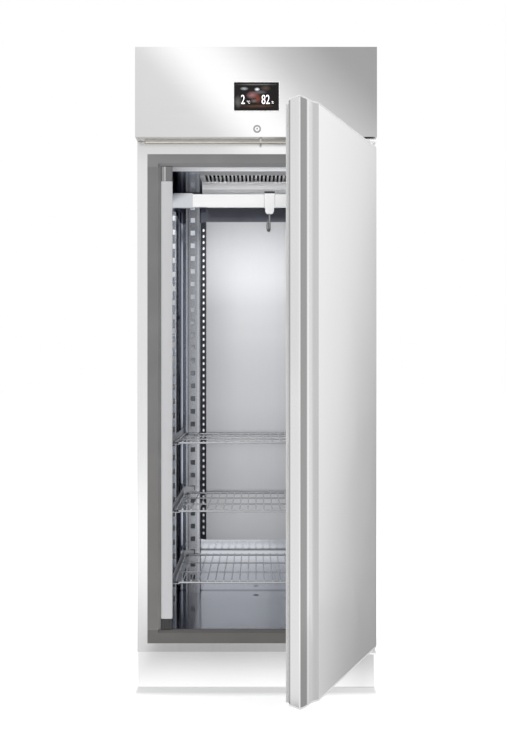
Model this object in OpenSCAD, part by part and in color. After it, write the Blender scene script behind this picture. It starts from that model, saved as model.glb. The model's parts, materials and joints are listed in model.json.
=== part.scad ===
// Dry aging cabinet: an insulated upright cabinet with one door, a hanging bar and three wire shelves.
// X runs to the right, Y to the back and Z up. The origin is on the floor, on the underside of the
// plinth's cross rail, below the middle of the cold chamber. Sizes are in millimetres.

/* [Cabinet] */
// Overall width
cab_w = 750; // [700:1:820]
// Overall height
cab_h = 2010; // [1950:1:2100]
// Depth of the cold chamber, from its mouth to its back wall
chamber_d = 690; // [650:1:760]
// Thickness of the outer sheets and of the chamber's lining
skin_t = 1; // [0.6:0.1:1.5]
// Height of the plinth
plinth_h = 118; // [90:1:150]
// Distance from the cabinet's front frame back to the plinth
plinth_setback = 16; // [5:1:40]
// Sheet thickness of the plinth
plinth_t = 1.5; // [1:0.1:3]
// Width of the plinth's flanges
plinth_flange = 25; // [15:1:40]
// Width of the plinth's cross rail
crossbar_w = 60; // [40:1:100]

/* [Insulation] */
// Thickness of the side walls
wall_side = 75; // [60:1:90]
// Thickness of the back wall
wall_back = 80; // [60:1:90]
// Thickness of the chamber's floor
wall_floor = 69; // [60:1:90]
// Thickness of the chamber's ceiling
wall_top = 70; // [60:1:90]

/* [Front frame] */
// Width of the stainless frame at the sides
frame_side_w = 32; // [20:1:36]
// Width of the stainless frame at the bottom
frame_bottom_w = 27; // [20:1:34]
// Width of the stainless frame at the top
frame_top_w = 32.5; // [20:0.5:36]
// Depth of the thermal break behind the front frame
breaker_t = 20; // [12:1:24]
// Chamfer of the thermal break at the chamber's mouth
breaker_chamfer = 10; // [4:1:12]

/* [Door] */
// Thickness of the door, without its gasket
door_t = 62; // [55:1:75]
// Gap between the closed door and the front frame
door_gap = 10; // [8:0.5:14]
// Gap between the door and the control panel above it
door_top_gap = 25; // [20:1:32]
// Height of the door's lower edge above the plinth
door_bottom_gap = 24; // [20:1:32]
// Angle at which the door is drawn open
door_open = 70.9; // [0:0.1:105]
// Width of the grip that runs down the door's free edge
grip_w = 97; // [80:1:120]
// Depth of the grip's hollow
grip_depth = 13.3; // [8:0.1:18]
// Width of the grip's hollow
hollow_w = 37; // [25:1:45]
// Depth of the grip's lip behind the door's face
lip_depth = 22; // [18:0.5:30]
// Width of the slope from the lip to the door's inner face
lip_slope_w = 33; // [20:1:45]
// Thickness of the door's end caps
door_cap_t = 6; // [3:0.5:10]
// Width of the gasket
gasket_w = 26; // [18:1:28]
// Gap that the closed gasket leaves to the thermal break
gasket_clear = 0.3; // [0.2:0.1:1]

/* [Hinges] */
// Distance from the cabinet's side to the hinge axis
hinge_in_x = 22; // [18:0.5:30]
// Distance from the closed door's face to the hinge axis
hinge_in_y = 18; // [15:0.5:24]
// Radius of the hinge pins
pin_r = 5; // [4:0.5:6]
// Radial clearance of the hinge pins
pin_clear = 0.05; // [0.03:0.01:0.1]
// Wall thickness of the hinge bushes
bush_wall = 3; // [2:0.5:4]
// Thickness of the hinge brackets' shelf
bracket_t = 6; // [4:0.5:7]
// Thickness of the hinge brackets' leg
bracket_leg_t = 3; // [2:0.5:4]

/* [Control panel] */
// Height of the control panel
fascia_h = 279; // [260:1:300]
// Sheet thickness of the control panel
fascia_t = 1.2; // [0.8:0.1:2]
// Gap between the control panel and the front frame
fascia_clear = 2; // [1:0.5:4]
// Width of the display's glass
display_w = 139; // [120:1:160]
// Height of the display's glass
display_h = 88; // [75:1:100]
// Width of the display's rim
display_rim = 2; // [1:0.5:4]
// Height of the display's centre above the control panel's lower edge
display_z = 125; // [100:1:150]
// Distance of the display's centre from the middle
display_x = 1.5; // [-20:0.5:20]
// Radius of the lock's flange
lock_r = 12; // [10:0.5:14]
// Distance of the lock from the middle
lock_x = 3.4; // [-20:0.1:20]
// Height of the lock above the control panel's lower edge
lock_z = 24.5; // [22:0.5:30]
// Radius at which the lock's crank pin turns
crank_r = 15.6; // [12:0.1:16]

/* [Rack] */
// Width of a front upright
front_upright_w = 32; // [26:1:36]
// Width of a rear upright
rear_upright_w = 50; // [40:1:60]
// Gap between a rear upright and the side wall
rear_upright_gap = 42; // [30:1:46]
// Depth of an upright
upright_d = 30; // [20:1:34]
// Distance from the chamber's mouth to the front uprights
front_upright_y = 210; // [150:1:260]
// Sheet thickness of the uprights and runners
rack_t = 1.5; // [1:0.1:2]
// Spacing of the uprights' slots
slot_pitch = 47; // [40:1:55]
// Width of an upright's slot
slot_w = 16; // [12:1:20]
// Height of an upright's slot
slot_h = 17; // [8:1:20]
// Distance of a front upright's slots from its inner edge
slot_edge = 2; // [2:0.5:8]
// Gap between a front upright and the chamber's ceiling
front_upright_drop = 116; // [112:1:260]
// Gap between a rear upright and the chamber's ceiling
rear_upright_drop = 14; // [6:1:160]

/* [Shelves] */
// Gap between a shelf and the front uprights
shelf_side_gap = 5; // [4.5:0.5:18]
// Depth of a shelf
shelf_d = 585; // [540:1:590]
// Height of the upper shelf's frame above the chamber's floor
shelf_1_z = 589; // [560:1:640]
// Height of the middle shelf's frame above the chamber's floor
shelf_2_z = 371; // [340:1:420]
// Height of the lower shelf's frame above the chamber's floor
shelf_3_z = 143; // [100:1:200]
// Diameter of a shelf's frame wire
frame_wire = 7; // [5:0.5:9]
// Diameter of a shelf's cross wires
cross_wire = 5; // [4:0.5:6]
// Diameter of a shelf's long wires
long_wire = 3.6; // [3:0.2:4.4]
// Number of a shelf's long wires
long_wires = 19; // [12:1:24]
// Corner radius of a shelf's frame wire
shelf_corner = 18; // [12:1:30]
// Width of a runner's ledge
ledge_w = 24; // [18:1:30]
// Height of a runner's side
runner_h = 25; // [18:1:35]

/* [Hanging bar] */
// Height of the bar's section
bar_h = 43; // [35:1:50]
// Depth of the bar's section
bar_d = 20; // [15:1:30]
// Depth of the bar's underside below the chamber's ceiling
bar_drop = 103.5; // [90:0.5:105]
// Distance from the chamber's mouth to the bar
bar_y = 185; // [150:1:240]
// Depth of a hanging rail from the side wall
rail_w = 24; // [16:1:30]
// Wall thickness of the bar's saddles and of the hook carrier
saddle_t = 2.5; // [2:0.1:4]
// Length of a saddle on the bar
saddle_l = 66; // [40:1:90]
// Width of the hook carrier
carrier_w = 35; // [28:1:45]
// Distance of the hook carrier from the middle
carrier_x = 45; // [-60:1:60]
// Gap between the hook carrier and the bar
carrier_clear = 0.5; // [0.3:0.1:1]
// Radius of the hook's wire
hook_r = 3.4; // [2.5:0.1:4]
// Radius of the hook's bend, to the wire's middle
hook_bend = 14; // [11:1:18]
// Length of the hook from the carrier to its bend
hook_l = 44; // [30:1:70]
// Angle at which the hook is drawn turned
hook_turn = -105; // [-180:1:180]

/* [Air duct and ceiling] */
// Gap between the duct and a rear upright
duct_side_gap = 2; // [1:0.5:10]
// Depth of the duct in front of the back wall
duct_d = 40; // [30:1:50]
// Width and depth of the duct's slanted sides
duct_slant = 22; // [15:1:22]
// Height of the duct's lower edge above the chamber's floor
duct_z = 195; // [170:1:260]
// Gap between the duct and the chamber's ceiling
duct_drop = 94; // [60:1:240]
// Spacing of the duct's air holes
duct_pitch = 22.5; // [20:0.5:34]
// Radius of the duct's air holes
duct_hole_r = 5.5; // [3:0.5:7]
// Overlap of the evaporator cover past the ceiling's opening at each side
cover_lap = 10; // [6:1:25]
// Distance from the chamber's mouth to the evaporator cover
cover_y = 91; // [80:1:120]
// Depth of the evaporator cover's curved drop
cover_drop = 33; // [26:1:40]
// Distance from the chamber's mouth to the air slots
air_slot_y = 171; // [160:1:185]
// Length of an air slot
air_slot_l = 133; // [100:1:140]
// Width of an air slot
air_slot_w = 7; // [5:0.2:8.4]
// Spacing of the air slots
air_slot_pitch = 13.2; // [11:0.2:16]
// Least distance from an air slot to the evaporator cover's edge
air_slot_edge = 14; // [8:1:40]

/* [Chamber light] */
// Width of the light profile
light_w = 35; // [28:1:38]
// Depth of the light profile
light_d = 18; // [14:1:24]
// Distance from the chamber's mouth to the light profile
light_y = 7; // [2:0.5:12]
// Height of the light's upper cap
light_top_cap = 47; // [30:1:60]
// Height of the light's lower cap
light_bottom_cap = 34; // [25:1:60]

/* [Cooling unit] */
// Distance from the side wall to the opening in the ceiling for the cooling unit
unit_side = 125; // [120:1:150]
// Length of the opening in the ceiling
unit_d = 466; // [420:1:480]
// Distance from the chamber's mouth to the opening in the ceiling
unit_y = 169; // [160:1:180]
// Wall thickness of the evaporator housing
housing_t = 20; // [12:1:24]
// Height of the evaporator housing
housing_h = 127; // [115:1:150]
// Radius of the condenser fan's blades
fan_r = 86; // [70:1:88]
// Radius of the evaporator fan's blades
evap_fan_r = 66; // [50:1:68]
// Radial gap round the condenser fan
fan_gap = 6; // [4:1:8]
// Radius of the fan motors' shafts
shaft_r = 4; // [3:0.5:5]
// Radius of the compressor's shell
compressor_r = 68; // [55:1:72]
// Height of the compressor's shell
compressor_h = 178; // [150:1:200]

/* [Outlets] */
// Outer radius of the drain spigot
drain_r = 11; // [8:0.5:14]
// Length of the drain spigot below the cabinet's base
drain_l = 58; // [30:1:80]
// Radius of the cable gland's bore
gland_r = 6.5; // [4:0.5:8]

/* [Hidden] */

$fn = 48;
eps = 0.01;
half_w = cab_w / 2;
front_y = -chamber_d / 2;
rear_y = chamber_d / 2;
back_y = rear_y + wall_back;
profile_h = 8;
profile_end = 25;
profile_leg = 26;
profile_foot = 10;
fascia_z = cab_h - fascia_h;
body_z = fascia_z - profile_h;
chamber_x = half_w - wall_side;
floor_z = plinth_h + wall_floor;
ceiling_z = body_z - wall_top;
chamber_h = ceiling_z - floor_z;

// Closed door: its face, its inner side, its lower and upper edges, and its hinge axis.
door_face_y = front_y - door_gap - door_t;
door_inner_y = front_y - door_gap;
door_z = plinth_h + door_bottom_gap;
door_top_z = fascia_z - door_top_gap;
door_edge = 12;
hinge_x = half_w - hinge_in_x;
hinge_y = door_face_y + hinge_in_y;
fascia_back_y = front_y - fascia_clear;

// Front frame and thermal break, as [left, right, bottom, top].
frame_out = [-half_w, half_w, plinth_h, body_z];
frame_in = [-half_w + frame_side_w, half_w - frame_side_w, plinth_h + frame_bottom_w,
    body_z - frame_top_w];
mouth = [-chamber_x, chamber_x, floor_z, ceiling_z];

// Plinth.
plinth_y = front_y + plinth_setback;
plinth_w = cab_w - 2 * skin_t;
plinth_d = back_y - skin_t - plinth_y;

// Hinges: the bush's collar and the pin's end keep the running gap below.
run_gap = 0.3;
bush_l = 26;
bush_r = pin_r + pin_clear + bush_wall;
collar_r = bush_r + 3;
pin_l = 17;
shelf_gap = 8;
upper_shelf_z = fascia_z - shelf_gap - bracket_t;
lower_shelf_z = plinth_h + shelf_gap - 1;
leg_h = 34;
leg_x = hinge_x - 12;
bracket_x = hinge_x - 23;
bracket_front = 13;
screw_r = 2.5;
screw_head_r = 5;
screw_head_t = 1;
screw_l = 14;
hinge_screw_x = [leg_x + 8, half_w - 10];
hinge_screw_z = [upper_shelf_z - 20, lower_shelf_z + bracket_t + 20];
cover_flange = 14;
grille_screw_x = half_w - 10;
grille_screw_z = [body_z + 40, cab_h - 60];

// Pivot of the control panel: as far from its top as from its back edge.
pivot_in = 9;
pivot_y = fascia_back_y - pivot_in;
pivot_z = cab_h - pivot_in;
pivot_r = 4;
arm_t = 2.5;
arm_gap = 0.5;
arm_drop = 36;

// Lock: the crank pin goes from 45 degrees above to 45 degrees below the lock's middle.
lock_at = [lock_x, fascia_z + lock_z];
lock_body_r = lock_r - 2;
lock_bore_r = 7;
lock_body_l = 25;
crank_y = door_face_y + lock_body_l;
crank_t = 2.5;
crank_pin_r = 2;
bolt_t = 3;
bolt_y = crank_y + crank_t + 2.2;
bolt_w = 6;
bolt_x = lock_x + crank_r * cos(45);
bolt_pin_z = lock_at.y + crank_r * sin(45);
bolt_slot_gap = 0.6;
bolt_end_z = fascia_z - 10;
bolt_travel = 2 * crank_r * sin(45);
guide_clear = 0.4;

// Rack, shelves and hanging bar.
front_upright_h = chamber_h - front_upright_drop;
rear_upright_h = chamber_h - rear_upright_drop;
front_upright_back = front_y + front_upright_y + upright_d;
upright_face_x = chamber_x - front_upright_w;
duct_y = rear_y - duct_d;
duct_h = chamber_h - duct_z - duct_drop;
duct_half_w = chamber_x - rear_upright_gap - rear_upright_w - duct_side_gap - duct_slant;
rear_upright_y = duct_y - 20;
runner_x = upright_face_x;
runner_y = front_y + 45;
shelf_w = 2 * (upright_face_x - shelf_side_gap);
shelf_y = rear_upright_y - 5 - shelf_d;
shelf_heights = [shelf_1_z, shelf_2_z, shelf_3_z];
slot_foot = 28;
bar_bottom = ceiling_z - bar_drop;
bar_front = front_y + bar_y;
bar_end = chamber_x - rail_w;
head_room = 6;
carrier_bottom = bar_bottom - head_room - saddle_t;
boss_r = 8;
boss_h = 14;
hook_at = [carrier_x, bar_front + bar_d / 2];
hook_play = 0.05;

// Chamber light, between its two caps.
light_low = floor_z + light_bottom_cap;
light_h = chamber_h - light_top_cap - light_bottom_cap;
lens_t = 2.5;

// Cooling unit: the deck lies on the foam, and the coils and fans stand on the deck.
deck_t = 1.5;
deck_z = body_z;
unit_w = 2 * (chamber_x - unit_side);
unit_front = front_y + unit_y;
cover_w = unit_w + 2 * cover_lap;
cover_t = 1.2;
air_slots = floor((cover_w - 2 * air_slot_edge - air_slot_w) / air_slot_pitch) + 1;
housing_in = unit_w / 2 + 5;
coil_bends = 35;
evap_coil = [unit_w - 2 * coil_bends, 90, 160];
evap_coil_at = [0, unit_front + 196, ceiling_z - 13];
evap_fan_at = [0, evap_coil_at.y + 120, ceiling_z + 78];
evap_motor_r = 32;
evap_motor_l = 46;
fan_depth = 20;
fan_hole = 4;
fan_inset = 6;
evap_fan_gap = 12;
shaft_end = 5;
cond_coil = [240, 35, 240];
cond_x = -60;
cond_y = front_y + profile_foot;
cond_fan_z = deck_z + cond_coil.z / 2;
shroud_y = cond_y + cond_coil.y;
shroud_l = 36;
cond_motor_r = 38;
cond_motor_l = 50;
comp_at = [half_w - 90, front_y + 165];
comp_base = [150, 170];
grommet_h = 18;
comp_plate_t = 3;
tube_r = 4;
elbow_r = 4.6;
line_x = unit_w / 2 - 55;
line_y = evap_coil_at.y + evap_coil.y / 2;
suction_x = comp_at.x + 55;
control_size = [140, 200, 100];
control_at = [-half_w + 12, front_y + 285];
gland_at = [-half_w + 75, body_z + 57];
gland_flange_r = gland_r + 7;
gland_body_r = gland_r + 3.5;
drain_at = [0, rear_y - 95];
drain_collar_r = drain_r + 1;
probe_at = [-60, evap_coil_at.y + 35];

function unit(v) = v / norm(v);

// Points of an arc of radius r that rounds the corner b between a and c.
function fillet(a, b, c, r, n = 5) =
    let (
        u = unit(a - b),
        v = unit(c - b),
        half = acos(u * v) / 2,
        middle = b + unit(u + v) * r / sin(half),
        p = b + u * r / tan(half) - middle,
        q = b + v * r / tan(half) - middle,
        start = atan2(p.y, p.x),
        turn = (atan2(q.y, q.x) - start + 540) % 360 - 180
    )
    [for (i = [0:n]) middle + r * [cos(start + turn * i / n), sin(start + turn * i / n)]];

// The outline moved inwards by d; its points run anticlockwise.
function inset(points, d) =
    let (count = len(points))
    [for (i = [0:count - 1])
        let (
            before = unit(points[i] - points[(i + count - 1) % count]),
            after = unit(points[(i + 1) % count] - points[i]),
            m = [-before.y, before.x],
            n = [-after.y, after.x]
        )
        points[i] + d * (m + n) / (1 + m * n)];

// Outline of the closed door seen from above: the flat face, the hinge side, the inner side, then the
// slope to the lip, the lip and the grip's hollow, which falls steeply from the face and levels out.
function door_outline() =
    let (
        left = -half_w,
        face = [left + grip_w, door_face_y],
        corner = [half_w, door_face_y],
        side = [half_w, door_inner_y - door_edge],
        back = [half_w - door_edge, door_inner_y],
        inner = [left + lip_slope_w, door_inner_y],
        lip = [left, door_face_y + lip_depth],
        crease = [left + lip_slope_w, door_face_y + grip_depth + 1],
        steps = 8
    )
    concat([face], fillet(face, corner, side, 3), [side, back, inner],
        fillet(inner, lip, crease, 2.5), [crease],
        [for (i = [0:steps - 1]) let (t = 1 - i / steps)
            face + [-hollow_w * t, grip_depth * (1 - (1 - t) * (1 - t))]]);

// A wall round the opening inner and inside outer, both [left, right, bottom, top], from y to y + t.
module ring(outer, inner, y, t) {
    difference() {
        translate([outer[0], y, outer[2]])
            cube([outer[1] - outer[0], t, outer[3] - outer[2]]);
        translate([inner[0], y - 1, inner[2]])
            cube([inner[1] - inner[0], t + 2, inner[3] - inner[2]]);
    }
}

// A cylinder along Y from the point [x, y, z].
module rod_y(at, r, l) {
    translate(at) rotate([-90, 0, 0]) cylinder(r = r, h = l);
}

// A cylinder along X from the point [x, y, z].
module rod_x(at, r, l) {
    translate(at) rotate([0, 90, 0]) cylinder(r = r, h = l);
}

// A profile of [y, z] points drawn out along X, centred.
module along_x(points, l) {
    translate([-l / 2, 0, 0]) rotate([90, 0, 90]) linear_extrude(l) polygon(points);
}

// A tube through the points, with a wider brazed elbow at each inner point.
module pipe(points, r, elbow) {
    for (i = [0:len(points) - 2]) {
        run = points[i + 1] - points[i];
        translate(points[i])
            rotate([0, acos(run.z / norm(run)), atan2(run.y, run.x)])
                cylinder(r = r, h = norm(run));
    }
    for (i = [1:1:len(points) - 2])
        translate(points[i]) sphere(r = elbow);
}

// Puts a piece that is drawn on the closed door where the open door carries it.
module on_door() {
    translate([hinge_x, hinge_y, 0]) rotate([0, 0, door_open])
        translate([-hinge_x, -hinge_y, 0]) children();
}

module both_sides() {
    children();
    mirror([1, 0, 0]) children();
}

module plinth_frame() {
    color("gainsboro")
        difference() {
            translate([-plinth_w / 2, plinth_y, 0]) cube([plinth_w, plinth_d, plinth_h]);
            translate([-plinth_w / 2 + plinth_t, plinth_y + plinth_t, plinth_t])
                cube([plinth_w - 2 * plinth_t, plinth_d - 2 * plinth_t, plinth_h - 2 * plinth_t]);
            translate([-plinth_w / 2 + plinth_flange, plinth_y + plinth_flange, -1])
                cube([plinth_w - 2 * plinth_flange, plinth_d - 2 * plinth_flange, plinth_h + 2]);
        }
}

module plinth_crossbar() {
    l = plinth_w - 2 * plinth_flange;
    t = 2;
    color("gainsboro")
        difference() {
            translate([-l / 2, -crossbar_w / 2, 0]) cube([l, crossbar_w, plinth_h]);
            translate([-l / 2 - 1, -crossbar_w / 2 + t, t])
                cube([l + 2, crossbar_w - 2 * t, plinth_h]);
        }
}

module base_panel() {
    color("silver")
        difference() {
            translate([-half_w + skin_t, front_y + skin_t, plinth_h])
                cube([cab_w - 2 * skin_t, back_y - front_y - 2 * skin_t, skin_t]);
            translate([drain_at.x, drain_at.y, plinth_h - 1]) cylinder(r = drain_collar_r, h = skin_t + 2);
        }
}

// The outer sheet of a side, with a flange at the back for the grille and one at the front that closes
// the cooling unit's space beside the lower profile.
module side_panel() {
    flange = 15;
    flange_low = body_z + 2;
    front_h = pivot_z - arm_drop - 10 - body_z;
    color("silver")
        difference() {
            union() {
                translate([-half_w, front_y + skin_t, plinth_h])
                    cube([skin_t, back_y - front_y - skin_t, cab_h - plinth_h]);
                translate([-half_w, back_y - 2 * skin_t, flange_low])
                    cube([flange, skin_t, cab_h - cover_flange - 4 - flange_low]);
                translate([-half_w, front_y + skin_t, body_z])
                    cube([profile_end - skin_t, skin_t, front_h]);
            }
            for (z = grille_screw_z)
                rod_y([-grille_screw_x, back_y - 3, z], screw_r, 4);
        }
}

module left_side_panel() {
    side_panel();
}

module right_side_panel() {
    mirror([1, 0, 0]) side_panel();
}

module back_panel() {
    color("silver")
        translate([-half_w + skin_t, back_y - skin_t, plinth_h + skin_t])
            cube([cab_w - 2 * skin_t, skin_t, body_z - plinth_h - skin_t]);
}

module front_frame() {
    lip = [frame_in[0] - skin_t, frame_in[1] + skin_t, frame_in[2] - skin_t, frame_in[3] + skin_t];
    color("gainsboro")
        difference() {
            union() {
                ring(frame_out, frame_in, front_y, skin_t);
                ring(lip, frame_in, front_y, breaker_t);
            }
            for (z = hinge_screw_z, x = hinge_screw_x)
                rod_y([x, front_y - 1, z], screw_r, skin_t + 2);
        }
}

// The mouth widens over the chamfer: one wedge across the width and one over the height.
module breaker_frame() {
    c = breaker_chamfer;
    color("dimgray")
        difference() {
            ring(frame_in, mouth, front_y, breaker_t);
            intersection() {
                translate([0, 0, floor_z - c]) linear_extrude(chamber_h + 2 * c)
                    polygon([[-chamber_x - c, front_y], [chamber_x + c, front_y],
                        [chamber_x, front_y + c], [-chamber_x, front_y + c]]);
                along_x([[front_y, floor_z - c], [front_y, ceiling_z + c],
                    [front_y + c, ceiling_z], [front_y + c, floor_z]], 2 * chamber_x + 2 * c);
            }
        }
}

module ceiling_opening(z, h) {
    translate([-unit_w / 2, unit_front, z]) cube([unit_w, unit_d, h]);
}

module cabinet_foam() {
    color("khaki")
        difference() {
            translate([-half_w + skin_t, front_y + skin_t, plinth_h + skin_t])
                cube([cab_w - 2 * skin_t, back_y - front_y - 2 * skin_t,
                    body_z - deck_t - plinth_h - skin_t]);
            translate([-chamber_x - skin_t, front_y, floor_z - skin_t])
                cube([2 * chamber_x + 2 * skin_t, chamber_d + skin_t, chamber_h + 2 * skin_t]);
            translate([frame_in[0] - skin_t, front_y, frame_in[2] - skin_t])
                cube([frame_in[1] - frame_in[0] + 2 * skin_t, breaker_t,
                    frame_in[3] - frame_in[2] + 2 * skin_t]);
            ceiling_opening(ceiling_z - 1, wall_top + 2);
            translate([drain_at.x, drain_at.y, plinth_h]) cylinder(r = drain_collar_r, h = wall_floor);
            for (z = hinge_screw_z, x = hinge_screw_x)
                rod_y([x, front_y - 1, z], screw_r, screw_l + 2);
        }
}

module chamber_liner() {
    y = front_y + breaker_t;
    color("lightsteelblue")
        difference() {
            translate([-chamber_x - skin_t, y, floor_z - skin_t])
                cube([2 * chamber_x + 2 * skin_t, rear_y + skin_t - y, chamber_h + 2 * skin_t]);
            translate([-chamber_x, y - 1, floor_z])
                cube([2 * chamber_x, rear_y - y + 1, chamber_h]);
            ceiling_opening(ceiling_z - 1, skin_t + 2);
            translate([drain_at.x, drain_at.y, floor_z - 2]) cylinder(r = drain_collar_r, h = 4);
        }
}

module top_cover() {
    flange = cover_flange;
    y = front_y + 5;
    color("silver")
        difference() {
            translate([-half_w + skin_t, y, cab_h - flange])
                cube([cab_w - 2 * skin_t, back_y - 2 * skin_t - y, flange]);
            translate([-half_w, y + skin_t, cab_h - flange - 1])
                cube([cab_w, back_y - 4 * skin_t - y, flange + 1 - skin_t]);
        }
}

module rear_grille() {
    z = body_z + skin_t;
    louvre = [90, 6];
    pitch = [120, 18];
    first_row = z + 60;
    color("silver")
        difference() {
            translate([-half_w + skin_t, back_y - skin_t, z])
                cube([cab_w - 2 * skin_t, skin_t, cab_h - z]);
            for (column = [-1:2], row = [0:9])
                translate([column * pitch.x - louvre.x / 2, back_y - 2, first_row + row * pitch.y])
                    cube([louvre.x, 3, louvre.y]);
            for (side = [-1, 1], z = grille_screw_z)
                rod_y([side * grille_screw_x, back_y - 3, z], screw_r, 4);
            rod_y([gland_at.x, back_y - 3, gland_at.y], gland_body_r, 4);
        }
}

// Closes the slit between the front frame and the control panel.
module lower_profile() {
    w = cab_w - 2 * profile_end;
    z = body_z + run_gap;
    color("tan")
        union() {
            translate([-w / 2, front_y - skin_t, z]) cube([w, skin_t, profile_leg]);
            translate([-w / 2, front_y - skin_t, z]) cube([w, profile_foot, skin_t]);
        }
}

module fascia_brackets() {
    x = half_w - fascia_t - arm_gap - arm_t;
    low = pivot_z - arm_drop;
    arm_r = 7;
    foot_h = 16;
    foot_y = front_y + 6;
    foot_l = 36;
    color("silver")
        both_sides() {
            translate([x, pivot_y - arm_r, low]) cube([arm_t, 2 * arm_r, arm_drop]);
            rod_x([x, pivot_y, pivot_z], arm_r, arm_t);
            translate([x, pivot_y - arm_r, low])
                cube([arm_t, foot_y + foot_l - pivot_y + arm_r, foot_h]);
            translate([x, foot_y, low]) cube([half_w - skin_t - x, foot_l, foot_h]);
            rod_x([x, pivot_y, pivot_z], pivot_r, arm_t + arm_gap + fascia_t - 0.1);
        }
}

module hinge_brackets() {
    depth = front_y - hinge_y + bracket_front;
    color("whitesmoke")
        difference() {
            union() {
                for (z = [upper_shelf_z, lower_shelf_z])
                    translate([bracket_x, hinge_y - bracket_front, z])
                        cube([half_w - 1 - bracket_x, depth, bracket_t]);
                translate([leg_x, front_y - bracket_leg_t, upper_shelf_z - leg_h])
                    cube([half_w - 2 - leg_x, bracket_leg_t, leg_h]);
                translate([leg_x, front_y - bracket_leg_t, lower_shelf_z + bracket_t])
                    cube([half_w - 2 - leg_x, bracket_leg_t, leg_h]);
                translate([hinge_x, hinge_y, door_top_z - pin_l])
                    cylinder(r = pin_r, h = upper_shelf_z + 1 - door_top_z + pin_l);
                translate([hinge_x, hinge_y, lower_shelf_z + bracket_t - 1])
                    cylinder(r = pin_r, h = door_z + pin_l - lower_shelf_z - bracket_t + 1);
            }
            for (z = hinge_screw_z, x = hinge_screw_x)
                rod_y([x, front_y - bracket_leg_t - 1, z], screw_r, bracket_leg_t + 2);
        }
}

module screw_y(at) {
    rod_y(at, screw_r, screw_l);
    rod_y([at.x, at.y - screw_head_t, at.z], screw_head_r, screw_head_t);
}

module fixing_screws() {
    color("silver") {
        for (z = hinge_screw_z, x = hinge_screw_x)
            screw_y([x, front_y - bracket_leg_t, z]);
        for (side = [-1, 1], z = grille_screw_z)
            mirror([0, 1, 0]) screw_y([side * grille_screw_x, -back_y, z]);
    }
}

module drain_spigot() {
    bore = drain_r - 2;
    color("darkgray")
        difference() {
            union() {
                translate([drain_at.x, drain_at.y, plinth_h - drain_l])
                    cylinder(r = drain_r, h = drain_l);
                translate([drain_at.x, drain_at.y, plinth_h])
                    cylinder(r = drain_collar_r, h = wall_floor);
            }
            translate([drain_at.x, drain_at.y, plinth_h - drain_l - 1])
                cylinder(r = bore, h = drain_l + wall_floor + 2);
        }
}

// The slots start one pitch above the upright's foot and stop below its top.
module slots(x, y, size, top) {
    for (z = [slot_foot + slot_pitch / 2 : slot_pitch : top - slot_h])
        translate([x, y, floor_z + z]) cube(size);
}

// Height of the slot nearest to the height z above the chamber's floor.
function slot_near(z) =
    slot_foot + slot_pitch / 2 + slot_pitch * round((z - slot_foot - slot_pitch / 2) / slot_pitch);

module front_upright() {
    w = front_upright_w;
    y = front_upright_back - upright_d;
    color("lightgray")
        difference() {
            translate([-chamber_x, y, floor_z]) cube([w, upright_d, front_upright_h]);
            translate([-chamber_x - 1, y + rack_t, floor_z - 1])
                cube([w + 1 - rack_t, upright_d - 2 * rack_t, front_upright_h + 2]);
            slots(-chamber_x + w - slot_edge - slot_w, y - 1, [slot_w, rack_t + 2, slot_h],
                front_upright_h);
            slots(-chamber_x + w - rack_t - 1, y + (upright_d - slot_w) / 2,
                [rack_t + 2, slot_w, slot_h], front_upright_h);
        }
}

// A channel that stands off the back wall on spacers.
module rear_upright() {
    x = -chamber_x + rear_upright_gap;
    w = rear_upright_w;
    color("lightgray") {
        difference() {
            translate([x, rear_upright_y, floor_z]) cube([w, upright_d, rear_upright_h]);
            translate([x + rack_t, rear_upright_y + rack_t, floor_z - 1])
                cube([w - 2 * rack_t, upright_d, rear_upright_h + 2]);
            slots(x + (w - slot_w) / 2, rear_upright_y - 1, [slot_w, rack_t + 2, slot_h],
                rear_upright_h);
        }
        for (z = [slot_foot + slot_pitch * 1.5 : slot_pitch * 10 : rear_upright_h - slot_pitch])
            rod_y([x + w / 2, rear_upright_y + rack_t / 2, floor_z + z - slot_pitch / 2 + slot_h / 2],
                8, rear_y - rear_upright_y - rack_t / 2);
    }
}

module front_uprights() {
    both_sides() front_upright();
}

module rear_uprights() {
    both_sides() rear_upright();
}

// An angle with a ledge for the shelf, hooked into the nearest slot of each upright.
module runner(z) {
    seat = frame_wire / 2 + run_gap;
    top = z - seat;
    hook_z = slot_near(top) + slot_h / 2;
    tab = [5, 10, 8];
    low = min(top - rack_t, hook_z - tab.z / 2 - 1);
    high = max(top, hook_z + tab.z / 2 + 1);
    rear_x = -chamber_x + rear_upright_gap + rear_upright_w / 2;
    front_hook_y = front_upright_back - upright_d / 2;
    translate([0, 0, floor_z]) {
        translate([-runner_x, runner_y, top - rack_t])
            cube([ledge_w, rear_upright_y - runner_y, rack_t]);
        translate([-runner_x, runner_y, top - rack_t])
            cube([rack_t, rear_upright_y - runner_y, runner_h]);
        translate([-runner_x, front_hook_y - tab.y / 2, low]) cube([rack_t, tab.y, high - low]);
        translate([-runner_x - tab.x + 1, front_hook_y - tab.y / 2, hook_z - tab.z / 2]) cube(tab);
        translate([-runner_x, rear_upright_y - rack_t, low])
            cube([rear_x + runner_x + tab.y / 2, rack_t, high - low]);
        translate([rear_x - tab.y / 2, rear_upright_y - 1, hook_z - tab.z / 2])
            cube([tab.y, tab.x + 1, tab.z]);
    }
}

module left_runners() {
    color("lightgray")
        for (z = shelf_heights)
            runner(z);
}

module right_runners() {
    mirror([1, 0, 0]) left_runners();
}

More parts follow.
